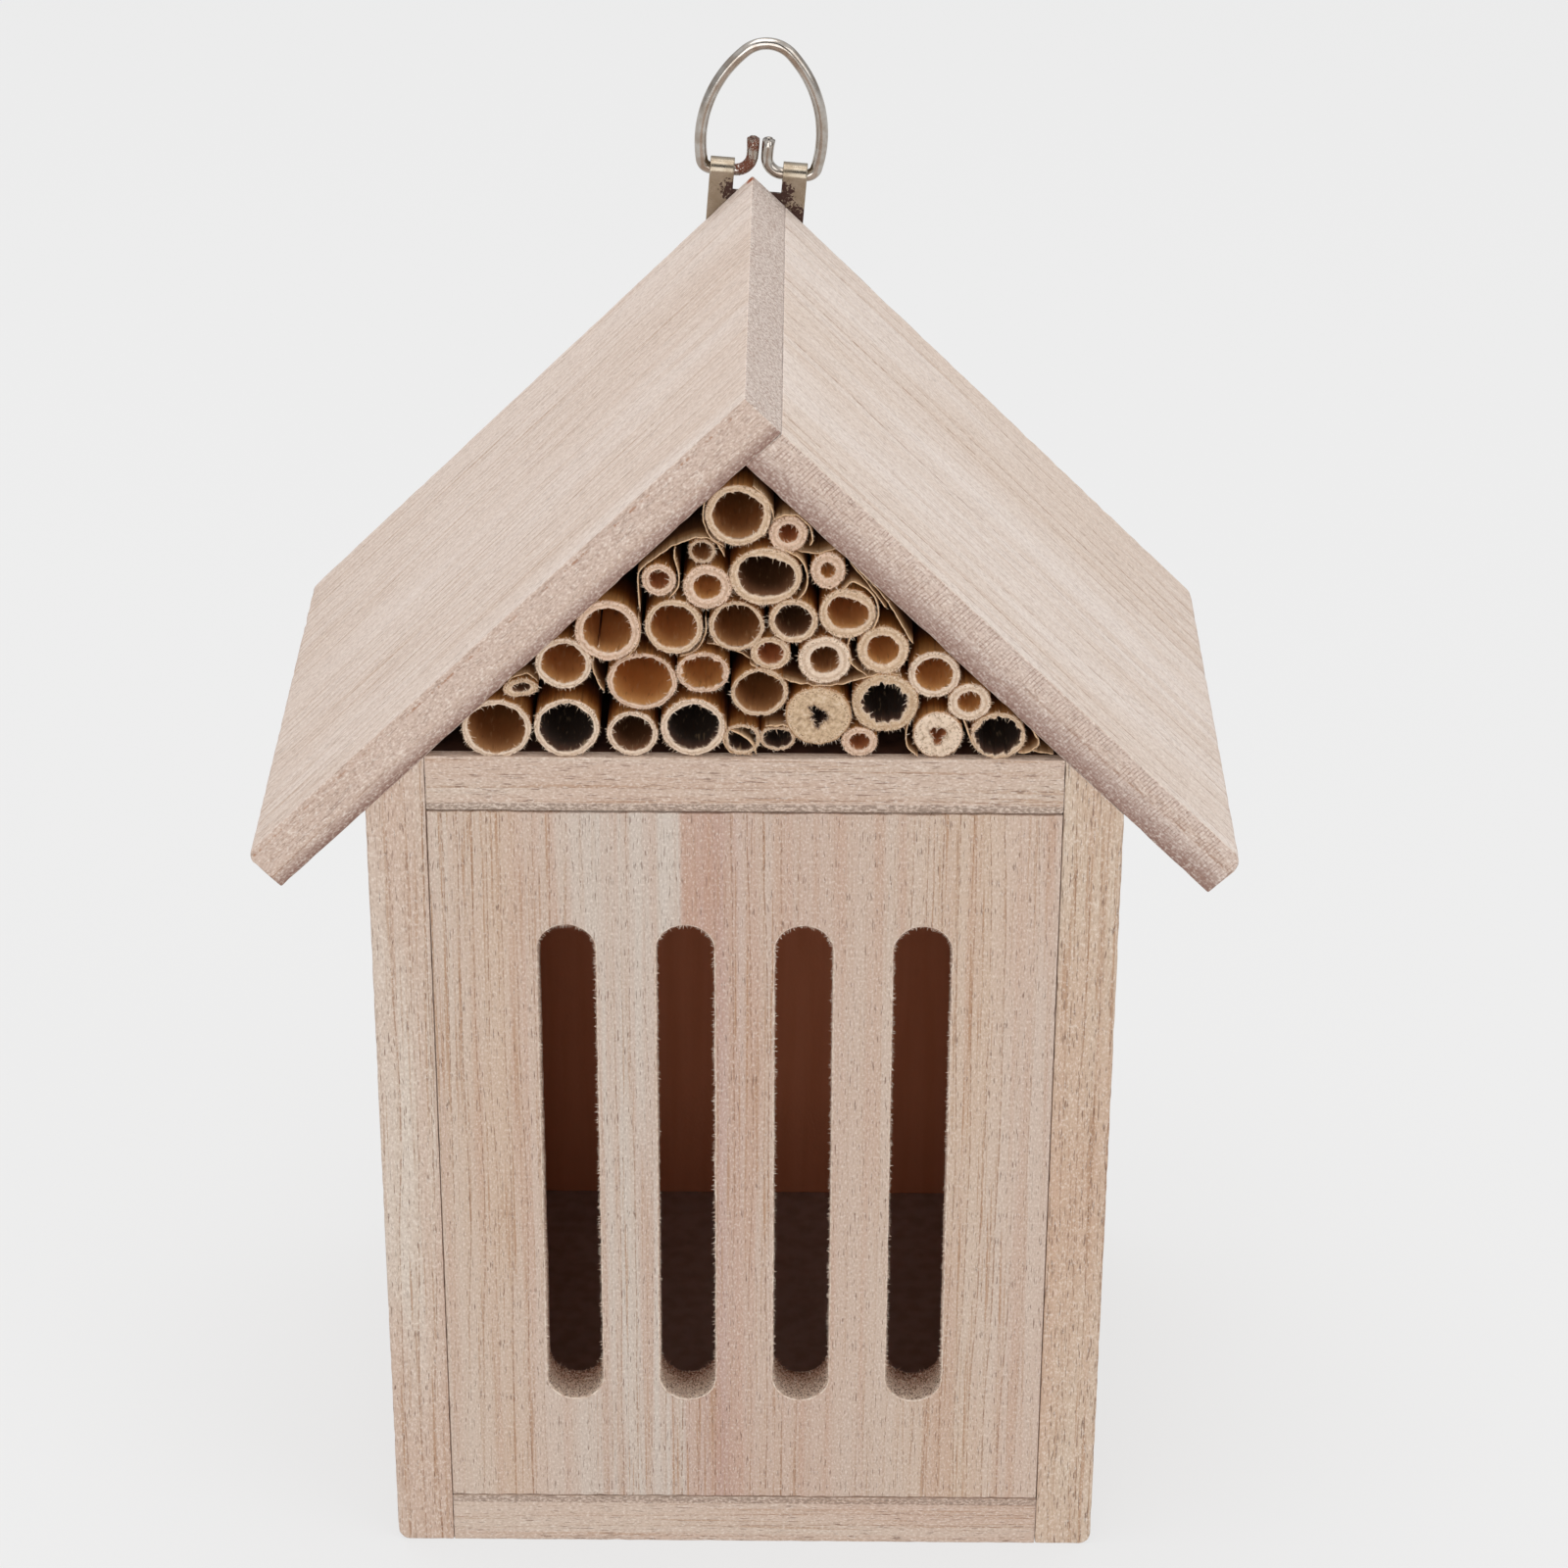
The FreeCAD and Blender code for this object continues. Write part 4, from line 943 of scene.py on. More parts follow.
def make_back_panel():
    """The thin back panel, cut to the house's outline and nailed on."""
    edge = HALF_WIDTH - BACK_GAP
    foot = BACK_LOW.z + BACK_GAP
    shoulder = SIDE_TOP - (HALF_WIDTH - HALF_INNER) - BACK_GAP
    corners = [(-edge, foot), (edge, foot), (edge, shoulder), (0.0, UNDER_APEX - 0.4),
               (-edge, shoulder)]
    piece = wood_board("back_board", corners, BACK_LOW.y, BACK_HIGH.y, (0, 0, 1), BACK_WOOD,
                       lambda centre, normal: normal.y < -0.7, INSIDE_WALL, arris=0.25,
                       wear=0.08, sawn=0.0, nails=pin_heads("back_pins"))
    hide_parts("back_panel")
    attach(piece, HOUSE)


# ---------------------------------------------------------------- loose fibres

def fibre_tree():
    """Geometry Nodes that stand short tapered fibres along edges of a mesh."""
    tree = bpy.data.node_groups.new("loose_fibres", "GeometryNodeTree")
    face = tree.interface
    face.new_socket("Geometry", in_out="INPUT", socket_type="NodeSocketGeometry")
    for name, kind in (("Spacing", "NodeSocketFloat"), ("Length", "NodeSocketFloat"),
                       ("Radius", "NodeSocketFloat"), ("Spread", "NodeSocketFloat"),
                       ("Seed", "NodeSocketInt"), ("Finish", "NodeSocketMaterial")):
        face.new_socket(name, in_out="INPUT", socket_type=kind)
    face.new_socket("Geometry", in_out="OUTPUT", socket_type="NodeSocketGeometry")
    given = add(tree, "NodeGroupInput").outputs
    lines = add(tree, "GeometryNodeMeshToCurve", {"Mesh": given["Geometry"]})
    beads = add(tree, "GeometryNodeResampleCurve",
                {"Curve": lines, "Length": given["Spacing"]}, mode="LENGTH")
    thorn = add(tree, "GeometryNodeMeshCone",
                {"Vertices": 4, "Radius Top": 0.0, "Radius Bottom": given["Radius"],
                 "Depth": given["Length"]}, fill_type="NONE")
    way = add(tree, "GeometryNodeInputNamedAttribute", {"Name": "inward"},
              data_type="FLOAT_VECTOR")
    stray = add(tree, "FunctionNodeRandomValue",
                {0: (-1, -1, -1), 1: (1, 1, 1), "Seed": given["Seed"]},
                data_type="FLOAT_VECTOR")
    bent = add(tree, "ShaderNodeVectorMath",
               {0: stray.outputs[0], "Scale": given["Spread"]}, operation="SCALE")
    aim = add(tree, "ShaderNodeVectorMath", {0: way.outputs[0], 1: bent.outputs[0]},
              operation="ADD")
    turn = add(tree, "FunctionNodeAlignRotationToVector", {"Vector": aim.outputs[0]},
               axis="Z")
    later = add(tree, "ShaderNodeMath", {0: given["Seed"], 1: 7.0}, operation="ADD")
    size = add(tree, "FunctionNodeRandomValue", {2: 0.25, 3: 1.0, "Seed": later},
               data_type="FLOAT")
    stood = add(tree, "GeometryNodeInstanceOnPoints",
                {"Points": beads, "Instance": thorn.outputs["Mesh"],
                 "Rotation": turn.outputs[0], "Scale": size.outputs[1]})
    real = add(tree, "GeometryNodeRealizeInstances", {"Geometry": stood})
    coated = add(tree, "GeometryNodeSetMaterial",
                 {"Geometry": real, "Material": given["Finish"]})
    add(tree, "NodeGroupOutput", {"Geometry": coated})
    return tree


FIBRES = fibre_tree()


def grow_fibres(name, lines, finish, seed, spacing, length, radius, spread):
    """Fibres along lines; each line is a list of (point in mm, direction). Spacing, length
    and radius are in mm; spread says how far they stray from their direction."""
    points = []
    ways = []
    edges = []
    for line in lines:
        first = len(points)
        points += [Vector(p) * MM for p, _ in line]
        ways += [way for _, way in line]
        edges += [(first + k, first + k + 1) for k in range(len(line) - 1)]
    mesh = bpy.data.meshes.new(name)
    mesh.from_pydata(points, edges, [])
    store(mesh, "inward", ways, kind="FLOAT_VECTOR")
    piece = new_piece(name, mesh)
    growth = piece.modifiers.new("fibres", "NODES")
    growth.node_group = FIBRES
    sockets = {item.name: item.identifier for item in FIBRES.interface.items_tree
               if item.in_out == "INPUT"}
    values = {"Spacing": spacing * MM, "Length": length * MM, "Radius": radius * MM,
              "Spread": spread, "Seed": seed, "Finish": finish}
    for key, value in values.items():
        growth[sockets[key]] = value
    settle(piece)
    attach(piece, HOUSE)


def make_slot_fuzz(slots):
    """Torn fibre along the front edges of the slots and thick on their rounded feet."""
    edges = []
    feet = []
    for slot in slots:
        edge = [((p.x, FRONT_Y + 0.15, p.y), (way.x, -0.4, way.y)) for p, way in slot]
        edges.append(edge + edge[:1])
        foot_top = min(p.y for p, _ in slot) + SLOT_WIDTH * 0.42
        foot = [(p, way) for p, way in slot if p.y < foot_top]
        for row in range(13):
            y = FRONT_Y + 0.4 + row * 0.75
            feet.append([((p.x, y, p.y), (way.x, -0.7, way.y)) for p, way in foot])
    grow_fibres("slot_fuzz", edges, WOOD_FUZZ, seed=3, spacing=0.32,
                length=0.95, radius=0.11, spread=0.8)
    grow_fibres("slot_foot_fuzz", feet, SLOT_WALL, seed=5, spacing=0.45,
                length=1.35, radius=0.19, spread=1.2)


# ---------------------------------------------------------------- reeds

# The lining of a reed: its colour at the mouth, its colour further in, and how many mm
# back the second one is reached.
# Where the colour further in is darker, that darkening is painted shade down the bore.
LININGS = {
    "golden": ("#D8A468", "#E0A05A", 14), "amber": ("#CE9A62", "#D08E50", 13),
    "brown": ("#BC8A5C", "#A86E3C", 9), "orange": ("#C88C60", "#C87840", 10),
    "dark": ("#94684A", "#6E4628", 7), "black": ("#6C4A3A", "#44362E", 4),
}

# The look of each reed, counted as the model counts them: half width, half height and
# half the bore in mm, the lining, the cut, the shape of the hole.
REED_LOOKS = [
    (6.45, 6.40, 4.95, "brown", "straw", "round"),
    (3.76, 3.82, 1.94, "orange", "pink", "round"),
    (2.64, 2.50, 2.00, "brown", "straw", "round"),
    (3.31, 3.57, 2.08, "orange", "pink", "round"),
    (4.79, 4.71, 2.74, "golden", "pink", "round"),
    (7.05, 6.15, 4.91, "dark", "straw", "uneven"),
    (3.40, 4.08, 1.64, "golden", "pink", "round"),
    (6.40, 6.45, 4.80, "amber", "pink", "round"),
    (5.70, 6.00, 4.69, "amber", "straw", "round"),
    (5.45, 5.40, 4.60, "brown", "straw", "round"),
    (4.80, 4.75, 3.53, "dark", "straw", "round"),
    (5.60, 5.35, 3.74, "amber", "straw", "uneven"),
    (5.60, 5.45, 4.35, "amber", "cream", "round"),
    (6.90, 6.10, 5.60, "golden", "pink", "round"),
    (5.25, 4.50, 3.95, "golden", "pink", "ragged"),
    (3.95, 3.60, 2.48, "orange", "straw", "round"),
    (5.25, 5.10, 2.92, "brown", "cream", "round"),
    (5.05, 5.20, 3.16, "golden", "straw", "round"),
    (3.06, 1.83, 1.30, "dark", "straw", "teardrop"),
    (5.60, 5.25, 4.60, "brown", "straw", "round"),
    (5.15, 5.00, 3.63, "golden", "cream", "round"),
    (4.25, 4.25, 2.39, "golden", "cream", "round"),
    (6.90, 6.40, 5.60, "brown", "cream", "round"),
    (6.45, 6.40, 5.25, "black", "cream", "round"),
    (5.05, 4.95, 3.98, "dark", "cream", "round"),
    (6.40, 6.40, 5.05, "black", "cream", "round"),
    (3.60, 3.70, 2.90, "black", "straw", "crushed"),
    (3.60, 2.90, 2.60, "black", "straw", "crushed"),
    (6.50, 6.40, 2.80, "black", "grey", "star"),
    (3.60, 3.25, 2.00, "orange", "pink", "round"),
    (6.60, 6.50, 4.35, "black", "grey", "ragged"),
    (4.90, 5.15, 2.10, "orange", "cream", "wedge"),
    (5.45, 5.15, 4.35, "black", "straw", "ragged"),
]

CUTS = {"straw": "#DABD9F", "pink": "#E0C0A8", "cream": "#E4CCB5", "grey": "#CDB090"}

AROUND = 88
REED_ANGLES = [2 * math.pi * k / AROUND for k in range(AROUND)]
ON_SKIN, ON_RIM, IN_BORE, ON_PITH = range(4)
RIM_STEPS = 8
SKIN_STEPS = (0.35, 1.2, 3.0, 7.0, 15.0, 35.0, 70.0)
BORE_STEPS = (0.25, 0.7, 1.4, 2.6, 4.2, 6.5, 9.5, 13.5, 19.0, 30.0, 48.0, 68.0)


def hole_share(kind, angle, seed):
    """How far the hole reaches at an angle, as a share of the bore."""
    circle = Vector((math.cos(angle), math.sin(angle), seed))
    share = 1.0 + noise.noise(circle * 1.6) * 0.06 + noise.noise(circle * 7.0) * 0.03
    if kind == "uneven":
        share += 0.10 * math.cos(2 * angle + 0.6) + 0.05 * math.cos(3 * angle)
    elif kind == "ragged":
        share += noise.noise(circle * 4.5) * 0.16 + noise.noise(circle * 11.0) * 0.08
    elif kind == "star":
        share = 0.55 + 0.42 * max(0.0, math.cos(2.5 * angle + 0.9)) ** 2
        share += noise.noise(circle * 5.0) * 0.3
    elif kind == "wedge":
        down = math.sin(angle)
        share = 0.62 + 0.5 * max(0.0, -down) ** 6 - 0.25 * max(0.0, -down) * abs(
            math.cos(angle)) + noise.noise(circle * 4.0) * 0.12
        share += 0.3 * abs(math.cos(angle)) * max(0.0, down + 0.3)
    return share


def rim_radius(kind, half_width, half_height, angle, seed):
    """The outside of a reed at an angle: an oval with a little unevenness."""
    c = math.cos(angle)
    s = math.sin(angle)
    radius = half_width * half_height / math.hypot(half_height * c, half_width * s)
    if kind == "teardrop":
        radius *= 1.0 + 0.38 * max(0.0, math.cos(angle - math.radians(205))) ** 5
    if kind == "crushed":
        radius *= 1.0 - 0.18 * max(0.0, math.sin(angle)) ** 3
    circle = Vector((c, s, seed))
    return radius * (0.985 + noise.noise(circle * 1.3) * 0.025) + noise.noise(
        circle * 14.0) * 0.13


def reed_outlines(look, seed):
    """The outer and inner radius of a reed's cut end at each angle, in mm."""
    half_width, half_height, bore, _, _, kind = look
    outer = [rim_radius(kind, half_width, half_height, a, seed) for a in REED_ANGLES]
    shrink = bore / ((half_width + half_height) / 2)
    inner = [max(0.4, min(o - 0.35, o * shrink * hole_share(kind, a, seed)))
             for o, a in zip(outer, REED_ANGLES)]
    return outer, inner


def reed_faces(kind, acrosses, finishes):
    """Faces between a reed's rings, over its knot and over its back end, each with its
    finish. The two middle points come after the rings, the knot's first."""
    faces = []
    materials = []
    for r in range(len(finishes) - 1):
        finish = finishes[r + 1]
        if finish == ON_RIM and finishes[r] == ON_SKIN:
            finish = ON_SKIN
        elif finish == ON_RIM and kind in ("star", "wedge") and acrosses[r] >= 0.25:
            finish = ON_PITH
        a = r * AROUND
        b = a + AROUND
        for k in range(AROUND):
            nxt = (k + 1) % AROUND
            faces.append((a + k, a + nxt, b + nxt, b + k))
            materials.append(finish)
    knot = len(finishes) * AROUND
    for k in range(AROUND):
        nxt = (k + 1) % AROUND
        faces.append((knot - AROUND + k, knot - AROUND + nxt, knot))
        materials.append(IN_BORE)
        faces.append((nxt, k, knot + 1))
        materials.append(ON_SKIN)
    return faces, materials


def make_reed(number, look):
    """One hollow reed with a ragged sawn end, an oval section and a closed knot.

    It is built from rings of points, from the back along the skin to the cut end and then
    down the bore. Returns the outer and inner ring of the cut end, and its middle."""
    lining, cut, kind = look[3:]
    node = f"reed_{number:02d}"
    low, high = box_mm(node)
    centre = (low + high) / 2
    # The cut ends stand almost level with the front of the house.
    low.y = FRONT_Y + 0.4 + (low.y - FRONT_Y) * 0.25
    seed = number * 1.37
    rng = random.Random(number)
    rows = []
    depths = []
    acrosses = []
    finishes = []
    mouth_code, deep_code, fall = LININGS[lining]
    outer, inner = reed_outlines(look, seed)
    lean = rng.uniform(-0.25, 0.25)
    tilt = rng.uniform(-0.35, 0.35)
    swell = [rng.uniform(-0.01, 0.01) for _ in SKIN_STEPS]

    def add_ring(radii, back, depth, across, finish, rough=0.0):
        row = []
        for k, a in enumerate(REED_ANGLES):
            wobble = Vector((math.cos(a) * 6, math.sin(a) * 6, across * 4 + seed))
            forward = rough * noise.noise(wobble) + lean * math.cos(a) * 0.5
            forward += tilt * math.sin(a) * 0.5
            if back > 20:
                forward = 0.0
            row.append((centre.x + radii[k] * math.cos(a), low.y + back + forward,
                        centre.z + radii[k] * math.sin(a)))
        rows.append(row)
        depths.append(depth)
        acrosses.append(across)
        finishes.append(finish)

    for step, grow in reversed(list(zip(SKIN_STEPS, swell))):
        add_ring([r * (1 + grow * min(1, step / 10)) for r in outer], 0.45 + step, step, 0.0,
                 ON_SKIN)
    for k in range(RIM_STEPS + 1):
        share = k / RIM_STEPS
        radii = [o + (i - o) * share for o, i in zip(outer, inner)]
        sink = 0.3 * (abs(2 * share - 1)) ** 6
        add_ring(radii, 0.15 + sink, 0.0, share, ON_RIM, rough=0.5)
    mean = sum(inner) / len(inner)
    for step in BORE_STEPS:
        soft = min(1.0, step / 8.0)
        radii = [r + (mean - r) * soft * 0.7 for r in inner]
        radii = [r * (1 + 0.03 * noise.noise(Vector((math.cos(a) * 3, math.sin(a) * 3,
                                                      step * 0.4 + seed))))
                 for r, a in zip(radii, REED_ANGLES)]
        add_ring(radii, 0.3 + step, step, 1.0, IN_BORE)

    points = [Vector(p) * MM for row in rows for p in row]
    points.append(Vector((centre.x, low.y + BORE_STEPS[-1] + 1.0, centre.z)) * MM)
    points.append(Vector((centre.x, high.y, centre.z)) * MM)
    faces, materials = reed_faces(kind, acrosses, finishes)
    mesh = bpy.data.meshes.new(f"cut_{node}")
    mesh.from_pydata(points, [], faces)
    for face, index in zip(mesh.polygons, materials):
        face.material_index = index
    store(mesh, "depth", [d for d in depths for _ in range(AROUND)] + [3.0, 60.0])
    store(mesh, "across", [d for d in acrosses for _ in range(AROUND)] + [1.0, 0.0])
    mouth = Vector(linear(mouth_code))
    deep = Vector(linear(deep_code))
    linings = [mouth.lerp(deep, min(1.0, d / fall)) for d in depths for _ in range(AROUND)]
    store(mesh, "rim_colour", [linear(CUTS[cut])] * len(points), kind="FLOAT_COLOR")
    store(mesh, "bore_colour", linings + [deep, deep], kind="FLOAT_COLOR")
    face_outwards(mesh)
    mesh.shade_smooth()
    piece = new_piece(f"cut_{node}", mesh, SKIN, RIM, BORE, PITH)
    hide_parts(node)
    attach(piece, HOUSE)
    first_rim = len(SKIN_STEPS)
    return rows[first_rim], rows[first_rim + RIM_STEPS], centre


# Torn leaf sheaths between the reeds: points across the bundle in mm from the middle and
# above the shelf, thickness, how far the torn edge stands back from the front. The rows are
# where a sheath's own points lie, in mm behind its torn edge.
LEAVES = [
    ([(-20.2, 31.6), (-20.5, 36.5), (-20.2, 40.2), (-17.3, 42.9), (-14.0, 45.4),
      (-10.6, 46.9), (-8.0, 47.4), (-5.3, 46.1), (-3.9, 43.4)], 0.32, 1.2),
    ([(-13.3, 45.4), (-13.5, 43.4), (-12.7, 39.8), (-12.9, 36.8), (-14.6, 34.5)], 0.3, 0.8),
    ([(-6.6, 57.6), (-7.7, 54.6), (-7.9, 51.0), (-6.6, 47.6), (-4.0, 45.6)], 0.28, 1.0),
    ([(1.6, 58.3), (3.6, 56.4), (5.2, 53.6), (5.5, 51.0)], 0.3, 0.9),
    ([(5.2, 50.8), (7.2, 52.4), (10.0, 52.1), (12.2, 50.0), (13.0, 47.0), (12.4, 46.0)],
     0.34, 1.0),
    ([(9.4, 44.6), (13.4, 44.0), (18.0, 45.0), (20.4, 43.0)], 0.3, 1.8),
    ([(7.2, 45.3), (10.6, 43.4), (12.0, 39.8), (11.7, 36.6), (10.2, 34.4)], 0.34, 0.6),
    ([(18.6, 36.4), (20.6, 38.3), (22.6, 37.6), (25.0, 35.0), (25.8, 31.4), (24.6, 28.0)],
     0.34, 0.8),
    ([(21.0, 42.2), (23.2, 39.4), (26.0, 36.2), (28.8, 32.0), (31.2, 27.6), (32.6, 25.2)],
     0.26, 0.7),
    ([(20.2, 42.4), (22.4, 39.6), (24.6, 36.6), (27.4, 32.6)], 0.22, 0.9),
    ([(1.0, 20.6), (4.2, 18.4), (8.0, 17.0), (13.0, 15.9), (18.0, 16.0), (22.4, 17.3),
      (27.2, 18.6), (30.4, 18.0)], 0.34, 1.0),
    ([(-7.4, 23.9), (-4.6, 23.4), (-1.4, 22.2), (1.6, 20.2)], 0.4, 3.0),
    ([(20.6, 27.0), (19.9, 23.6), (21.2, 20.0), (24.0, 17.9)], 0.3, 1.0),
    ([(-20.6, 30.6), (-20.2, 27.0), (-21.2, 23.4), (-24.0, 20.8)], 0.3, 1.2),
    ([(-7.6, 30.4), (-7.6, 26.8), (-9.4, 23.2), (-12.6, 21.9)], 0.28, 1.2),
    ([(-28.2, 24.0), (-29.6, 20.4), (-28.8, 16.6), (-27.4, 13.8)], 0.3, 1.5),
    ([(55.2, 8.2), (56.8, 5.6), (57.6, 3.6), (56.4, 2.0), (53.6, 1.4)], 0.36, 0.8),
    ([(52.0, 1.3), (55.4, 1.6), (60.6, 0.9)], 0.3, 1.4),
    ([(42.6, 8.8), (43.8, 5.6), (44.6, 3.2)], 0.4, 1.0),
    ([(32.4, 9.2), (31.6, 5.4), (32.0, 2.2), (34.0, 0.5)], 0.3, 1.0),
    ([(-4.6, 8.9), (-3.6, 6.4), (-4.2, 3.4), (-2.4, 0.8), (1.4, 0.4)], 0.32, 1.1),
    ([(-2.6, 5.9), (-0.4, 4.9), (1.6, 3.0), (2.2, 0.9)], 0.5, 0.6),
    ([(4.0, 6.6), (7.0, 6.9), (9.6, 6.4)], 0.5, 1.2),
    ([(-46.8, 13.6), (-45.4, 16.6), (-42.4, 17.5), (-40.4, 15.9)], 0.3, 1.6),
]
LEAF_ROWS = (0.0, 0.5, 1.5, 4.0, 9.0, 16.0, 26.0)


def smooth_line(points, step=0.5):
    """A soft line through points, about one step between its own points."""
    line = []
    spots = [Vector(p) for p in points]
    for k in range(len(spots) - 1):
        before = spots[max(0, k - 1)]
        start = spots[k]
        end = spots[k + 1]
        after = spots[min(len(spots) - 1, k + 2)]
        count = max(2, round((end - start).length / step))
        for j in range(count):
            t = j / count
            line.append(0.5 * (2 * start + (end - before) * t
                               + (2 * before - 5 * start + 4 * end - after) * t * t
                               + (3 * start - before - 3 * end + after) * t ** 3))
    line.append(spots[-1])
    return line


def make_leaves():
    """Thin torn sheaths that lie between the reeds and run back into the bundle. Returns
    their torn edges, for the loose fibres."""
    points = []
    faces = []
    depths = []
    edges = []
    for index, (route, thickness, recess) in enumerate(LEAVES):
        line = smooth_line(route)
        sides = []
        for k, spot in enumerate(line):
            along = line[min(len(line) - 1, k + 1)] - line[max(0, k - 1)]
            across = Vector((-along.y, along.x)).normalized()
            taper = min(1.0, 0.35 + min(k, len(line) - 1 - k) / 4)
            sides.append((spot + across * thickness * 0.36 * taper,
                          spot - across * thickness * 0.36 * taper))
        first = len(points)
        count = len(line)
        for back in LEAF_ROWS:
            for k, pair in enumerate(sides):
                torn = noise.noise(Vector((k * 0.35, index * 3.1, 0))) * 0.9
                torn = torn * max(0.0, 1 - back / 4)
                for spot in pair:
                    points.append(Vector((spot.x, FRONT_Y + recess + back + torn,
                                          SHELF_TOP + spot.y)) * MM)
                    depths.append(back)
        width = 2 * count
        for row in range(len(LEAF_ROWS) - 1):
            a = first + row * width
            b = a + width
            for k in range(count - 1):
                for side in (0, 1):
                    p = a + 2 * k + side
                    q = p + 2
                    faces.append((p, q, q - a + b, p - a + b))
            for k in (0, count - 1):
                p = a + 2 * k
                faces.append((p, p + 1, p + 1 - a + b, p - a + b))
        for base in (first, first + (len(LEAF_ROWS) - 1) * width):
            for k in range(count - 1):
                p = base + 2 * k
                faces.append((p, p + 1, p + 3, p + 2))
        edges.append([((s[0].x, FRONT_Y + recess, SHELF_TOP + s[0].y), (0, -1, 0.2))
                      for s in sides])
    mesh = bpy.data.meshes.new("torn_leaves")
    mesh.from_pydata(points, [], faces)
    store(mesh, "depth", depths)
    face_outwards(mesh)
    piece = new_piece("torn_leaves", mesh, LEAF)
    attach(piece, HOUSE)
    return edges


def make_reeds():
    """All the reeds, the torn leaves between them and the loose fibres on their cut ends."""
    outer_lines = []
    inner_lines = []
    for number, look in enumerate(REED_LOOKS, start=1):
        outer, inner, centre = make_reed(number, look)
        for source, target, push in ((outer, outer_lines, 1), (inner, inner_lines, -1)):
            line = []
            for point in source + source[:1]:
                way = Vector((point[0] - centre.x, 0, point[2] - centre.z)).normalized()
                line.append((point, (way.x * push * 0.6, -0.8, way.z * push * 0.6)))
            target.append(line)
    leaf_edges = make_leaves()
    grow_fibres("reed_edge_fibres", outer_lines, REED_FUZZ, seed=11, spacing=0.4,
                length=0.95, radius=0.085, spread=0.8)
    grow_fibres("reed_mouth_fibres", inner_lines, REED_FUZZ, seed=13, spacing=0.6,
                length=1.2, radius=0.08, spread=0.9)
    grow_fibres("leaf_fibres", leaf_edges, REED_FUZZ, seed=17, spacing=0.42,
                length=1.0, radius=0.08, spread=0.8)


# ---------------------------------------------------------------- hanger

SWING = frame["joints"][0]
AXIS = Vector(SWING["pos_m"]) / MM
AXIS_WAY = Vector(SWING["axis"]).normalized()
LEAN = Matrix.Translation(AXIS * MM) @ Matrix.Rotation(
    math.atan2(-AXIS_WAY.z, AXIS_WAY.x), 4, "Y")

WIRE_RADIUS = 1.3
RING_HALF_WIDTH = 12.9
RING_WIDE_HEIGHT = 7.5
RING_HEIGHT = 28.6
RING_TOP_RADIUS = 7.0
RING_CORNER_RADIUS = 2.2
RING_END_GAP = 3.1
RING_END_BEND = 3.6
RING_END_HEIGHT = 7.3


def ring_line():
    """The middle of the ring's wire in mm about its axis, from the right end to the left."""
    rise = RING_HEIGHT - RING_TOP_RADIUS - RING_WIDE_HEIGHT
    flank = (RING_HALF_WIDTH ** 2 + rise ** 2 - RING_TOP_RADIUS ** 2) / (
        2 * (RING_HALF_WIDTH - RING_TOP_RADIUS))
    flank_x = RING_HALF_WIDTH - flank
    crown_z = RING_HEIGHT - RING_TOP_RADIUS
    meet = math.degrees(math.atan2(crown_z - RING_WIDE_HEIGHT, -flank_x))
    corner_x = flank_x + math.sqrt((flank - RING_CORNER_RADIUS) ** 2
                                   - (RING_CORNER_RADIUS - RING_WIDE_HEIGHT) ** 2)
    low = math.degrees(math.atan2(RING_CORNER_RADIUS - RING_WIDE_HEIGHT,
                                  corner_x - flank_x))
    end_x = RING_END_GAP / 2
    half = [(end_x + 0.12, RING_END_HEIGHT), (end_x + 0.02, RING_END_HEIGHT - 1.6)]
    half += arc((end_x + RING_END_BEND, RING_END_BEND), RING_END_BEND, 180, 270, 14)
    half += arc((corner_x, RING_CORNER_RADIUS), RING_CORNER_RADIUS, -90, low, 12)
    half += arc((flank_x, RING_WIDE_HEIGHT), flank, low, meet, 30)[1:]
    half += arc((0, crown_z), RING_TOP_RADIUS, meet, 90, 12)[1:]
    return half + [(-x, z) for x, z in reversed(half[:-1])]


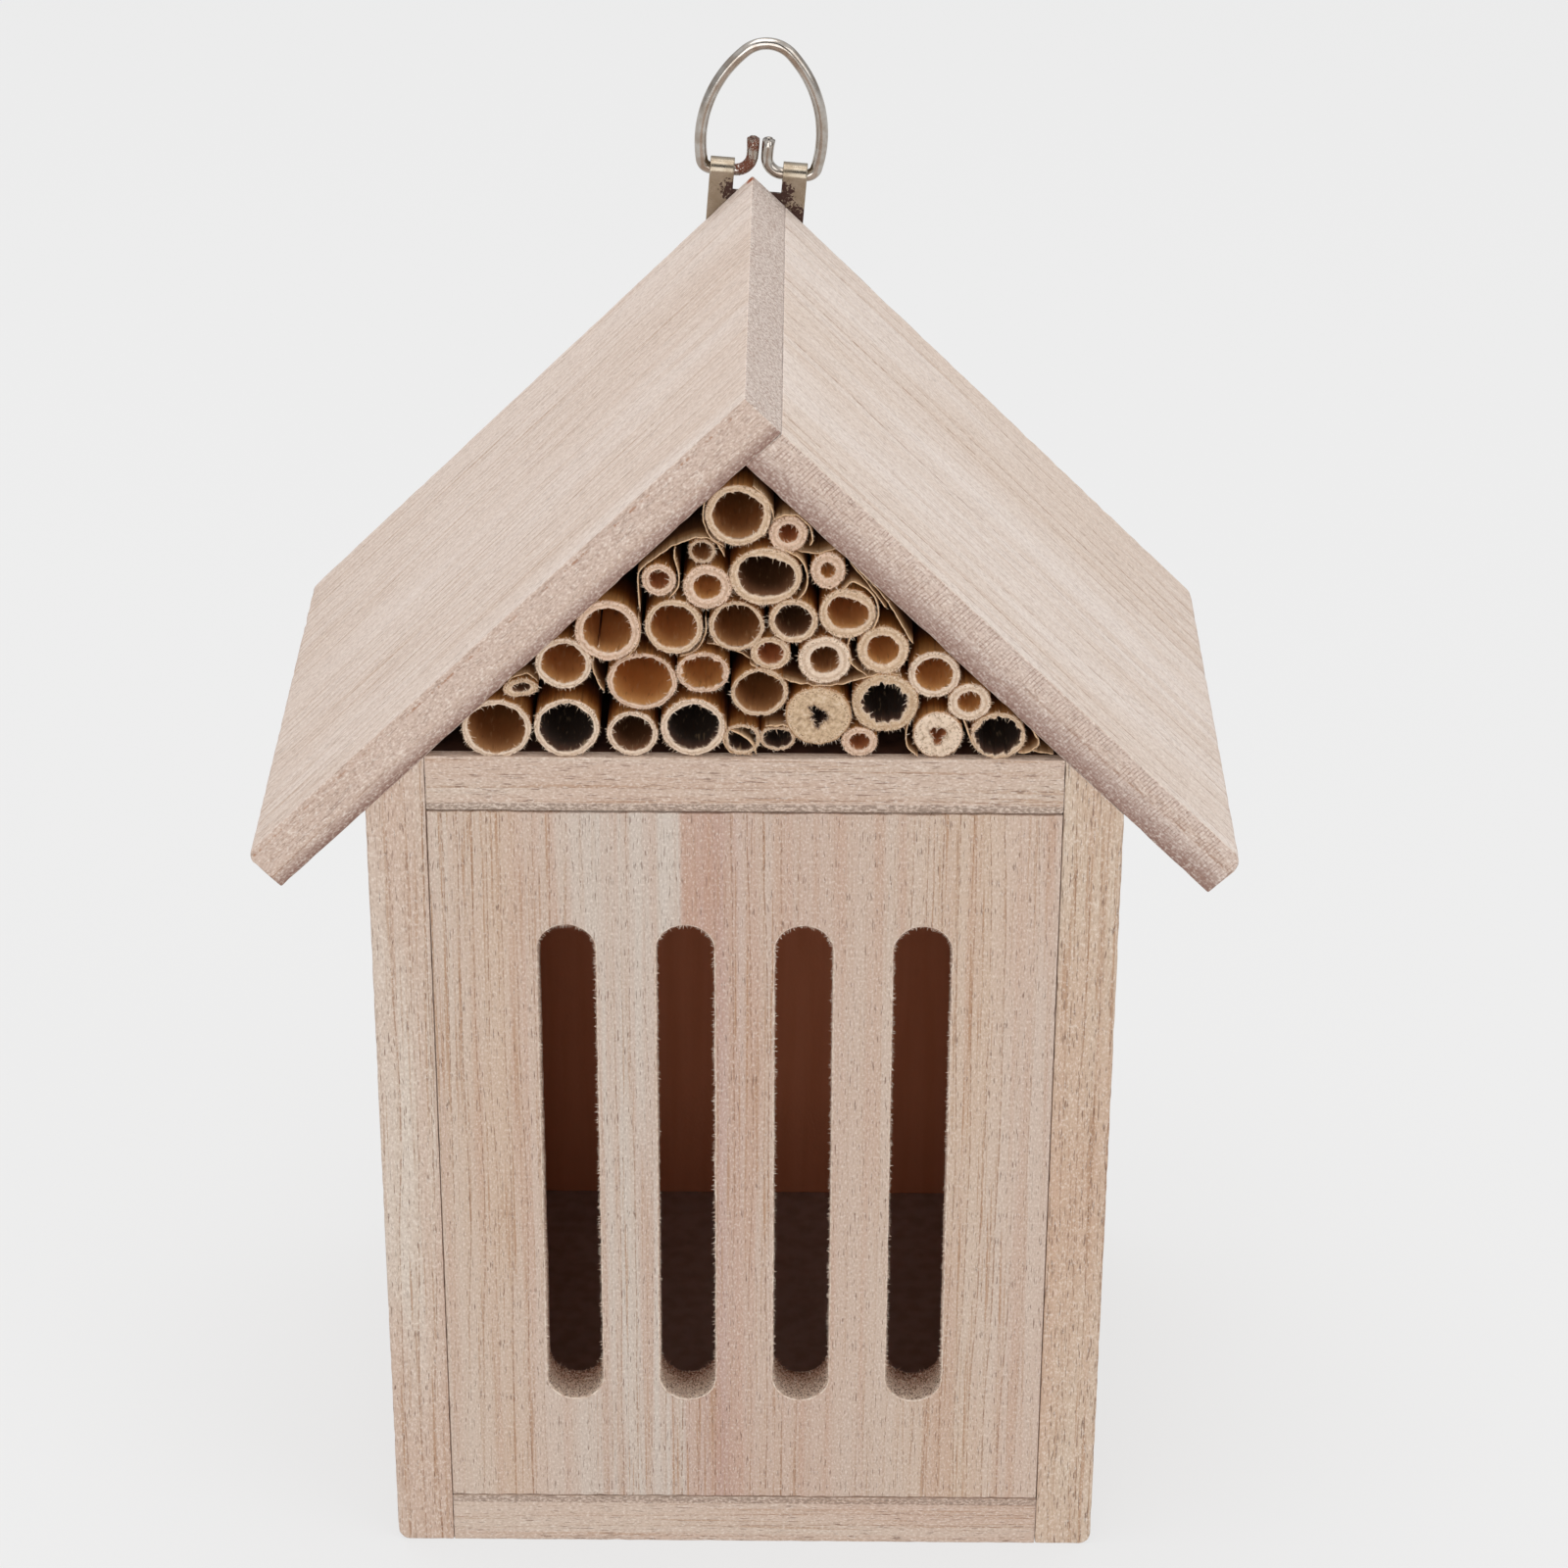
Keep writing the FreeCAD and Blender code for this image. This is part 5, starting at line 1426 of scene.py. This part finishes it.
def make_ring():
    """One length of wire bent to an arch, its cropped ends turned up side by side."""
    line = ring_line()
    sides = 28
    points = []
    faces = []
    total = len(line)
    for k, spot in enumerate(line):
        here = Vector(spot)
        ahead = Vector(line[min(total - 1, k + 1)])
        behind = Vector(line[max(0, k - 1)])
        along = (ahead - behind).normalized()
        out = Vector((along.y, -along.x))
        from_end = min(k, total - 1 - k)
        radius = WIRE_RADIUS * (1.06 if from_end == 0 else 1.02 if from_end == 1 else 1.0)
        for j in range(sides):
            a = 2 * math.pi * j / sides
            spread = out * math.cos(a) * radius
            rough = 1.0
            if from_end <= 1:
                rough += 0.05 * noise.noise(Vector((math.cos(a) * 2, math.sin(a) * 2, k)))
            drop = Vector((0, 0))
            if from_end == 0:
                drop = Vector((0, noise.noise(Vector((math.cos(a), math.sin(a), k * 0.1)))
                               * 0.35))
            place = here + spread * rough + drop
            points.append(LEAN @ (Vector((place.x, math.sin(a) * radius * rough, place.y))
                                  * MM))
    for k in range(total - 1):
        for j in range(sides):
            nxt = (j + 1) % sides
            a = k * sides
            b = a + sides
            faces.append((a + j, a + nxt, b + nxt, b + j))
    for k, base in ((0, 0), (total - 1, (total - 1) * sides)):
        rim = Vector(line[k])
        lift = 0.45
        small = []
        for j in range(sides):
            a = 2 * math.pi * j / sides
            small.append(len(points))
            points.append(LEAN @ (Vector((rim.x + 0.62 * WIRE_RADIUS * math.cos(a),
                                          0.62 * WIRE_RADIUS * math.sin(a),
                                          rim.y + lift)) * MM))
        if k:
            small = [small[(sides // 2 - j) % sides] for j in range(sides)]
        for j in range(sides):
            nxt = (j + 1) % sides
            faces.append((base + j, base + nxt, small[nxt], small[j]))
        tip = len(points)
        points.append(LEAN @ (Vector((rim.x, 0, rim.y + lift - 0.15)) * MM))
        for j in range(sides):
            faces.append((small[j], small[(j + 1) % sides], tip))
    mesh = bpy.data.meshes.new("hanging_ring")
    mesh.from_pydata(points, [], faces)
    face_outwards(mesh)
    mesh.shade_smooth()
    left_tip = LEAN @ (Vector((-RING_END_GAP / 2, 0, RING_END_HEIGHT - 1)) * MM) / MM
    left_bend = LEAN @ (Vector((-RING_END_GAP / 2 - 1.5, 0, 1.5)) * MM) / MM
    nickel = plated_steel("nickel_plated_ring_wire", "#BDB7B0", "#8F7B68", 0.12,
                          rust_spots=[(tuple(left_tip), 3.6), (tuple(left_bend), 5.2)],
                          rust="#6A3B26", tarnish=0.55)
    piece = new_piece("hanging_ring", mesh, nickel)
    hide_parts("hanger_ring")
    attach(piece, RING)


PLATE_HALF = 10.4
PLATE_THICKNESS = 1.0
PLATE_LENGTH = 33.0
PLATE_CORNER = 3.0
NOTCH_HALF = 5.2
NOTCH_DEPTH = 3.7
FINGER_WRAP = 240
WIRE_PLAY = 0.3
SCREW_DROPS = (17.0, 25.5)
# A pan head screw's outline: radius, then how far behind the top of its head.
SCREW_PROFILE = [(0.0, 0.0), (1.5, 0.02), (2.2, 0.16), (2.6, 0.5), (2.78, 0.95), (2.8, 1.4),
                 (2.8, 1.8), (1.25, 1.8), (1.25, 7.6), (0.25, 9.6), (0.0, 9.75)]


def make_hanger_plate():
    """A zinc plated strap cut into two fingers that curl over the ring's wire."""
    bend = WIRE_RADIUS + WIRE_PLAY + PLATE_THICKNESS / 2
    profile = []
    foot_rows = [PLATE_LENGTH - d for d in (0, 0.25, 0.7, 1.3, 2.1, 3.0)]
    heights = [-h for h in foot_rows] + [-26, -22, -17, -12, -8, -5.5, -NOTCH_DEPTH - 0.4,
                                         -NOTCH_DEPTH, -2.4, -1.2, 0.0]
    for height in heights:
        profile.append((-bend, height))
    for k in range(1, 31):
        a = math.radians(180 - FINGER_WRAP * k / 30)
        profile.append((bend * math.cos(a), bend * math.sin(a)))
    half = [2.5, NOTCH_HALF, NOTCH_HALF + 0.5, 7.0, 8.6, PLATE_HALF - 0.5, PLATE_HALF]
    columns = [-x for x in reversed(half)] + [0.0] + half
    shape = bmesh.new()
    grid = []
    for y, z in profile:
        from_foot = z + PLATE_LENGTH
        trim = 0.0
        if from_foot < PLATE_CORNER and y < 0:
            trim = PLATE_CORNER - math.sqrt(PLATE_CORNER ** 2
                                            - (PLATE_CORNER - from_foot) ** 2)
        share = (PLATE_HALF - trim) / PLATE_HALF
        grid.append([shape.verts.new(LEAN @ (Vector((x * share, y, z)) * MM))
                     for x in columns])
    for row in range(len(profile) - 1):
        for col in range(len(columns) - 1):
            middle = (columns[col] + columns[col + 1]) / 2
            cut = abs(middle) < NOTCH_HALF and (row >= heights.index(-NOTCH_DEPTH))
            if not cut:
                shape.faces.new((grid[row][col], grid[row][col + 1],
                                 grid[row + 1][col + 1], grid[row + 1][col]))
    loose = [v for v in shape.verts if not v.link_faces]
    bmesh.ops.delete(shape, geom=loose, context="VERTS")
    bmesh.ops.recalc_face_normals(shape, faces=shape.faces)
    mesh = mesh_of(shape, "hanger_strap")
    notch = [LEAN @ (Vector((x, -bend, -NOTCH_DEPTH)) * MM) / MM
             for x in (-NOTCH_HALF, NOTCH_HALF)]
    right_edge = LEAN @ (Vector((PLATE_HALF - 2.0, -bend, -NOTCH_DEPTH - 5)) * MM) / MM
    rust_spots = [(tuple(notch[0]), 5.0), (tuple(notch[1]), 5.4), (tuple(right_edge), 5.6)]
    zinc = plated_steel("zinc_plated_hanger_strap", "#A69B8B", "#8C7B66", 0.26, rust_spots,
                        rust="#3E2218", tarnish=0.6, grit=1.4)
    piece = new_piece("hanger_strap", mesh, zinc)
    body = piece.modifiers.new("sheet", "SOLIDIFY")
    body.thickness = PLATE_THICKNESS * MM
    body.offset = 0.0
    ease_edges(piece, 0.14, 50)
    settle(piece)
    piece.data.shade_smooth()
    add_sharpness(piece)
    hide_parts("hanger_plate")
    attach(piece, HOUSE)


def make_screws():
    """Two pan head screws with a cross recess, which hold the strap to the back."""
    zinc = plated_steel("zinc_plated_screws", "#C2BFB8", "#A9A294", 0.28)
    shape = bmesh.new()
    head_top = box_mm("hanger_screws")[1].y
    spots = [LEAN @ (Vector((0, 0, -drop)) * MM) for drop in SCREW_DROPS]
    for spot in spots:
        rings = []
        for radius, back in SCREW_PROFILE:
            loop = []
            for k in range(36):
                a = 2 * math.pi * k / 36
                loop.append(shape.verts.new((spot.x + radius * MM * math.cos(a),
                                             (head_top - back) * MM,
                                             spot.z + radius * MM * math.sin(a))))
            rings.append(loop)
        join_loops(shape, rings)
    bmesh.ops.remove_doubles(shape, verts=shape.verts, dist=1e-6)
    bmesh.ops.recalc_face_normals(shape, faces=shape.faces)
    piece = new_piece("strap_screws", mesh_of(shape, "strap_screws"), zinc)
    for spot in spots:
        for angle in (20, 110):
            cross = bmesh.new()
            bmesh.ops.create_cube(cross, size=1.0)
            for vertex in cross.verts:
                narrow = 0.55 if vertex.co.y < 0 else 1.0
                vertex.co = Vector((vertex.co.x * 2.9 * narrow, vertex.co.y * 2.2,
                                    vertex.co.z * 0.62)) * MM
            turn = Matrix.Rotation(math.radians(angle), 4, "Y")
            bmesh.ops.transform(cross, verts=cross.verts, matrix=Matrix.Translation(
                (spot.x, head_top * MM, spot.z)) @ turn)
            cut_out(piece, mesh_of(cross, "cross_recess"), "EXACT")
    piece.data.shade_smooth()
    add_sharpness(piece)
    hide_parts("hanger_screws")
    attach(piece, HOUSE)


# ---------------------------------------------------------------- nails

def finish_pins():
    """The brads stay as the model has them, in dull steel."""
    steel = plated_steel("bright_steel_brads", "#A8A29A", "#77695A", 0.4, tarnish=0.7)
    for node in ("wall_pins", "roof_pins", "back_pins"):
        for holder in frame["nodes"][node].material_slots:
            holder.material = steel


# ---------------------------------------------------------------- stage, light, camera

def make_stage():
    """A wide pale floor under soft, even studio light."""
    material, tree, shader = new_material("matt_pale_floor")
    haze = add(tree, "ShaderNodeTexNoise", {"Vector": in_mm(tree), "Scale": 0.002})
    tree.links.new(blend(tree, haze.outputs[0], "#717171", "#737373"),
                   shader.inputs["Base Color"])
    # A little of the floor's own light keeps its pale tone even from edge to edge.
    shader.inputs["Emission Color"].default_value = (1, 1, 1, 1)
    shader.inputs["Emission Strength"].default_value = 0.66
    shader.inputs["Roughness"].default_value = 1.0
    shader.inputs["Specular IOR Level"].default_value = 0.0
    mesh = bpy.data.meshes.new("studio_floor")
    reach = 12.0
    mesh.from_pydata([(-reach, -reach, 0), (reach, -reach, 0), (reach, reach, 0),
                      (-reach, reach, 0)], [], [(0, 1, 2, 3)])
    floor = new_piece("studio_floor", mesh, material)


def add_softbox(name, place, aim, size, power, colour="#FFFFFF"):
    """A square area light that faces a point."""
    data = bpy.data.lights.new(name, "AREA")
    data.shape = "SQUARE"
    data.size = size
    data.energy = power
    data.color = linear(colour)[:3]
    light = bpy.data.objects.new(name, data)
    light.location = place
    light.rotation_mode = "QUATERNION"
    light.rotation_quaternion = (Vector(aim) - Vector(place)).to_track_quat("-Z", "Y")
    bpy.context.scene.collection.objects.link(light)


def make_light():
    """A pale room: a bright ceiling, greyer walls that give the wire its dark lines, and
    large softboxes in front and overhead."""
    world = bpy.data.worlds.new("soft_room")
    bpy.context.scene.world = world
    world.use_nodes = True
    tree = world.node_tree
    tree.nodes.clear()
    way = add(tree, "ShaderNodeTexCoord").outputs["Generated"]
    height = add(tree, "ShaderNodeSeparateXYZ", {0: way}).outputs["Z"]
    ceiling = fade(tree, height, 0.2, 0.75, 0.6, 1.05)
    # The unlit end of the room, high in front, which the bright wire mirrors as dark lines.
    toward = add(tree, "ShaderNodeVectorMath", {0: way, 1: (0.05, -0.86, 0.5)},
                 operation="DOT_PRODUCT").outputs["Value"]
    room = maths(tree, "MULTIPLY", ceiling, fade(tree, toward, 0.84, 0.95, 1.0, 0.06))
    sky = add(tree, "ShaderNodeBackground", {"Color": room, "Strength": 0.84})
    add(tree, "ShaderNodeOutputWorld", {"Surface": sky})
    add_softbox("front_softbox", (-0.2, -2.1, 0.62), (0, 0, 0.12), 1.7, 19.0)
    add_softbox("right_softbox", (1.6, -1.1, 1.1), (0, 0, 0.12), 1.2, 6.0)
    add_softbox("top_softbox", (-0.2, 0.1, 2.2), (0, 0, 0.1), 1.8, 20.0)


CAMERA_PLACE = (10.091, FRONT_Y - 726.724, 583.303)
CAMERA_PITCH = 27.2506
CAMERA_YAW = -0.1926
CAMERA_ROLL = 0.2978
CAMERA_LENS = 96.5493
CAMERA_SENSOR = 36.0
CAMERA_SHIFT = -0.0625


def make_camera():
    """The camera that looks down at the front."""
    pitch = math.radians(CAMERA_PITCH)
    yaw = math.radians(CAMERA_YAW)
    roll = math.radians(CAMERA_ROLL)
    ahead = Vector((math.sin(yaw) * math.cos(pitch), math.cos(yaw) * math.cos(pitch),
                    -math.sin(pitch)))
    level = Vector((math.cos(yaw), -math.sin(yaw), 0))
    upward = level.cross(ahead)
    right = math.cos(roll) * level + math.sin(roll) * upward
    above = math.cos(roll) * upward - math.sin(roll) * level
    data = bpy.data.cameras.new("front_camera")
    data.sensor_width = CAMERA_SENSOR
    data.lens = CAMERA_LENS
    data.shift_y = CAMERA_SHIFT
    data.clip_start = 0.01
    data.clip_end = 100
    camera = bpy.data.objects.new("front_camera", data)
    place = Matrix((right, above, -ahead)).transposed().to_4x4()
    place.translation = Vector(CAMERA_PLACE) * MM
    camera.matrix_world = place
    bpy.context.scene.collection.objects.link(camera)
    bpy.context.scene.camera = camera


# ---------------------------------------------------------------- building

bpy.context.scene.view_settings.view_transform = "Standard"
make_camera()
make_light()
make_stage()

slot_rng = random.Random(5)
slot_low = PANEL_LOW.z + SLOT_MARGIN
slot_high = PANEL_HIGH.z - SLOT_MARGIN
slot_lines = [slot_outline((k - (SLOT_COUNT - 1) / 2) * SLOT_PITCH, slot_low, slot_high,
                           slot_rng) for k in range(SLOT_COUNT)]
make_boards()
make_front_panel(slot_lines)
make_back_panel()
make_slot_fuzz(slot_lines)
make_reeds()
make_ring()
make_hanger_plate()
make_screws()
finish_pins()
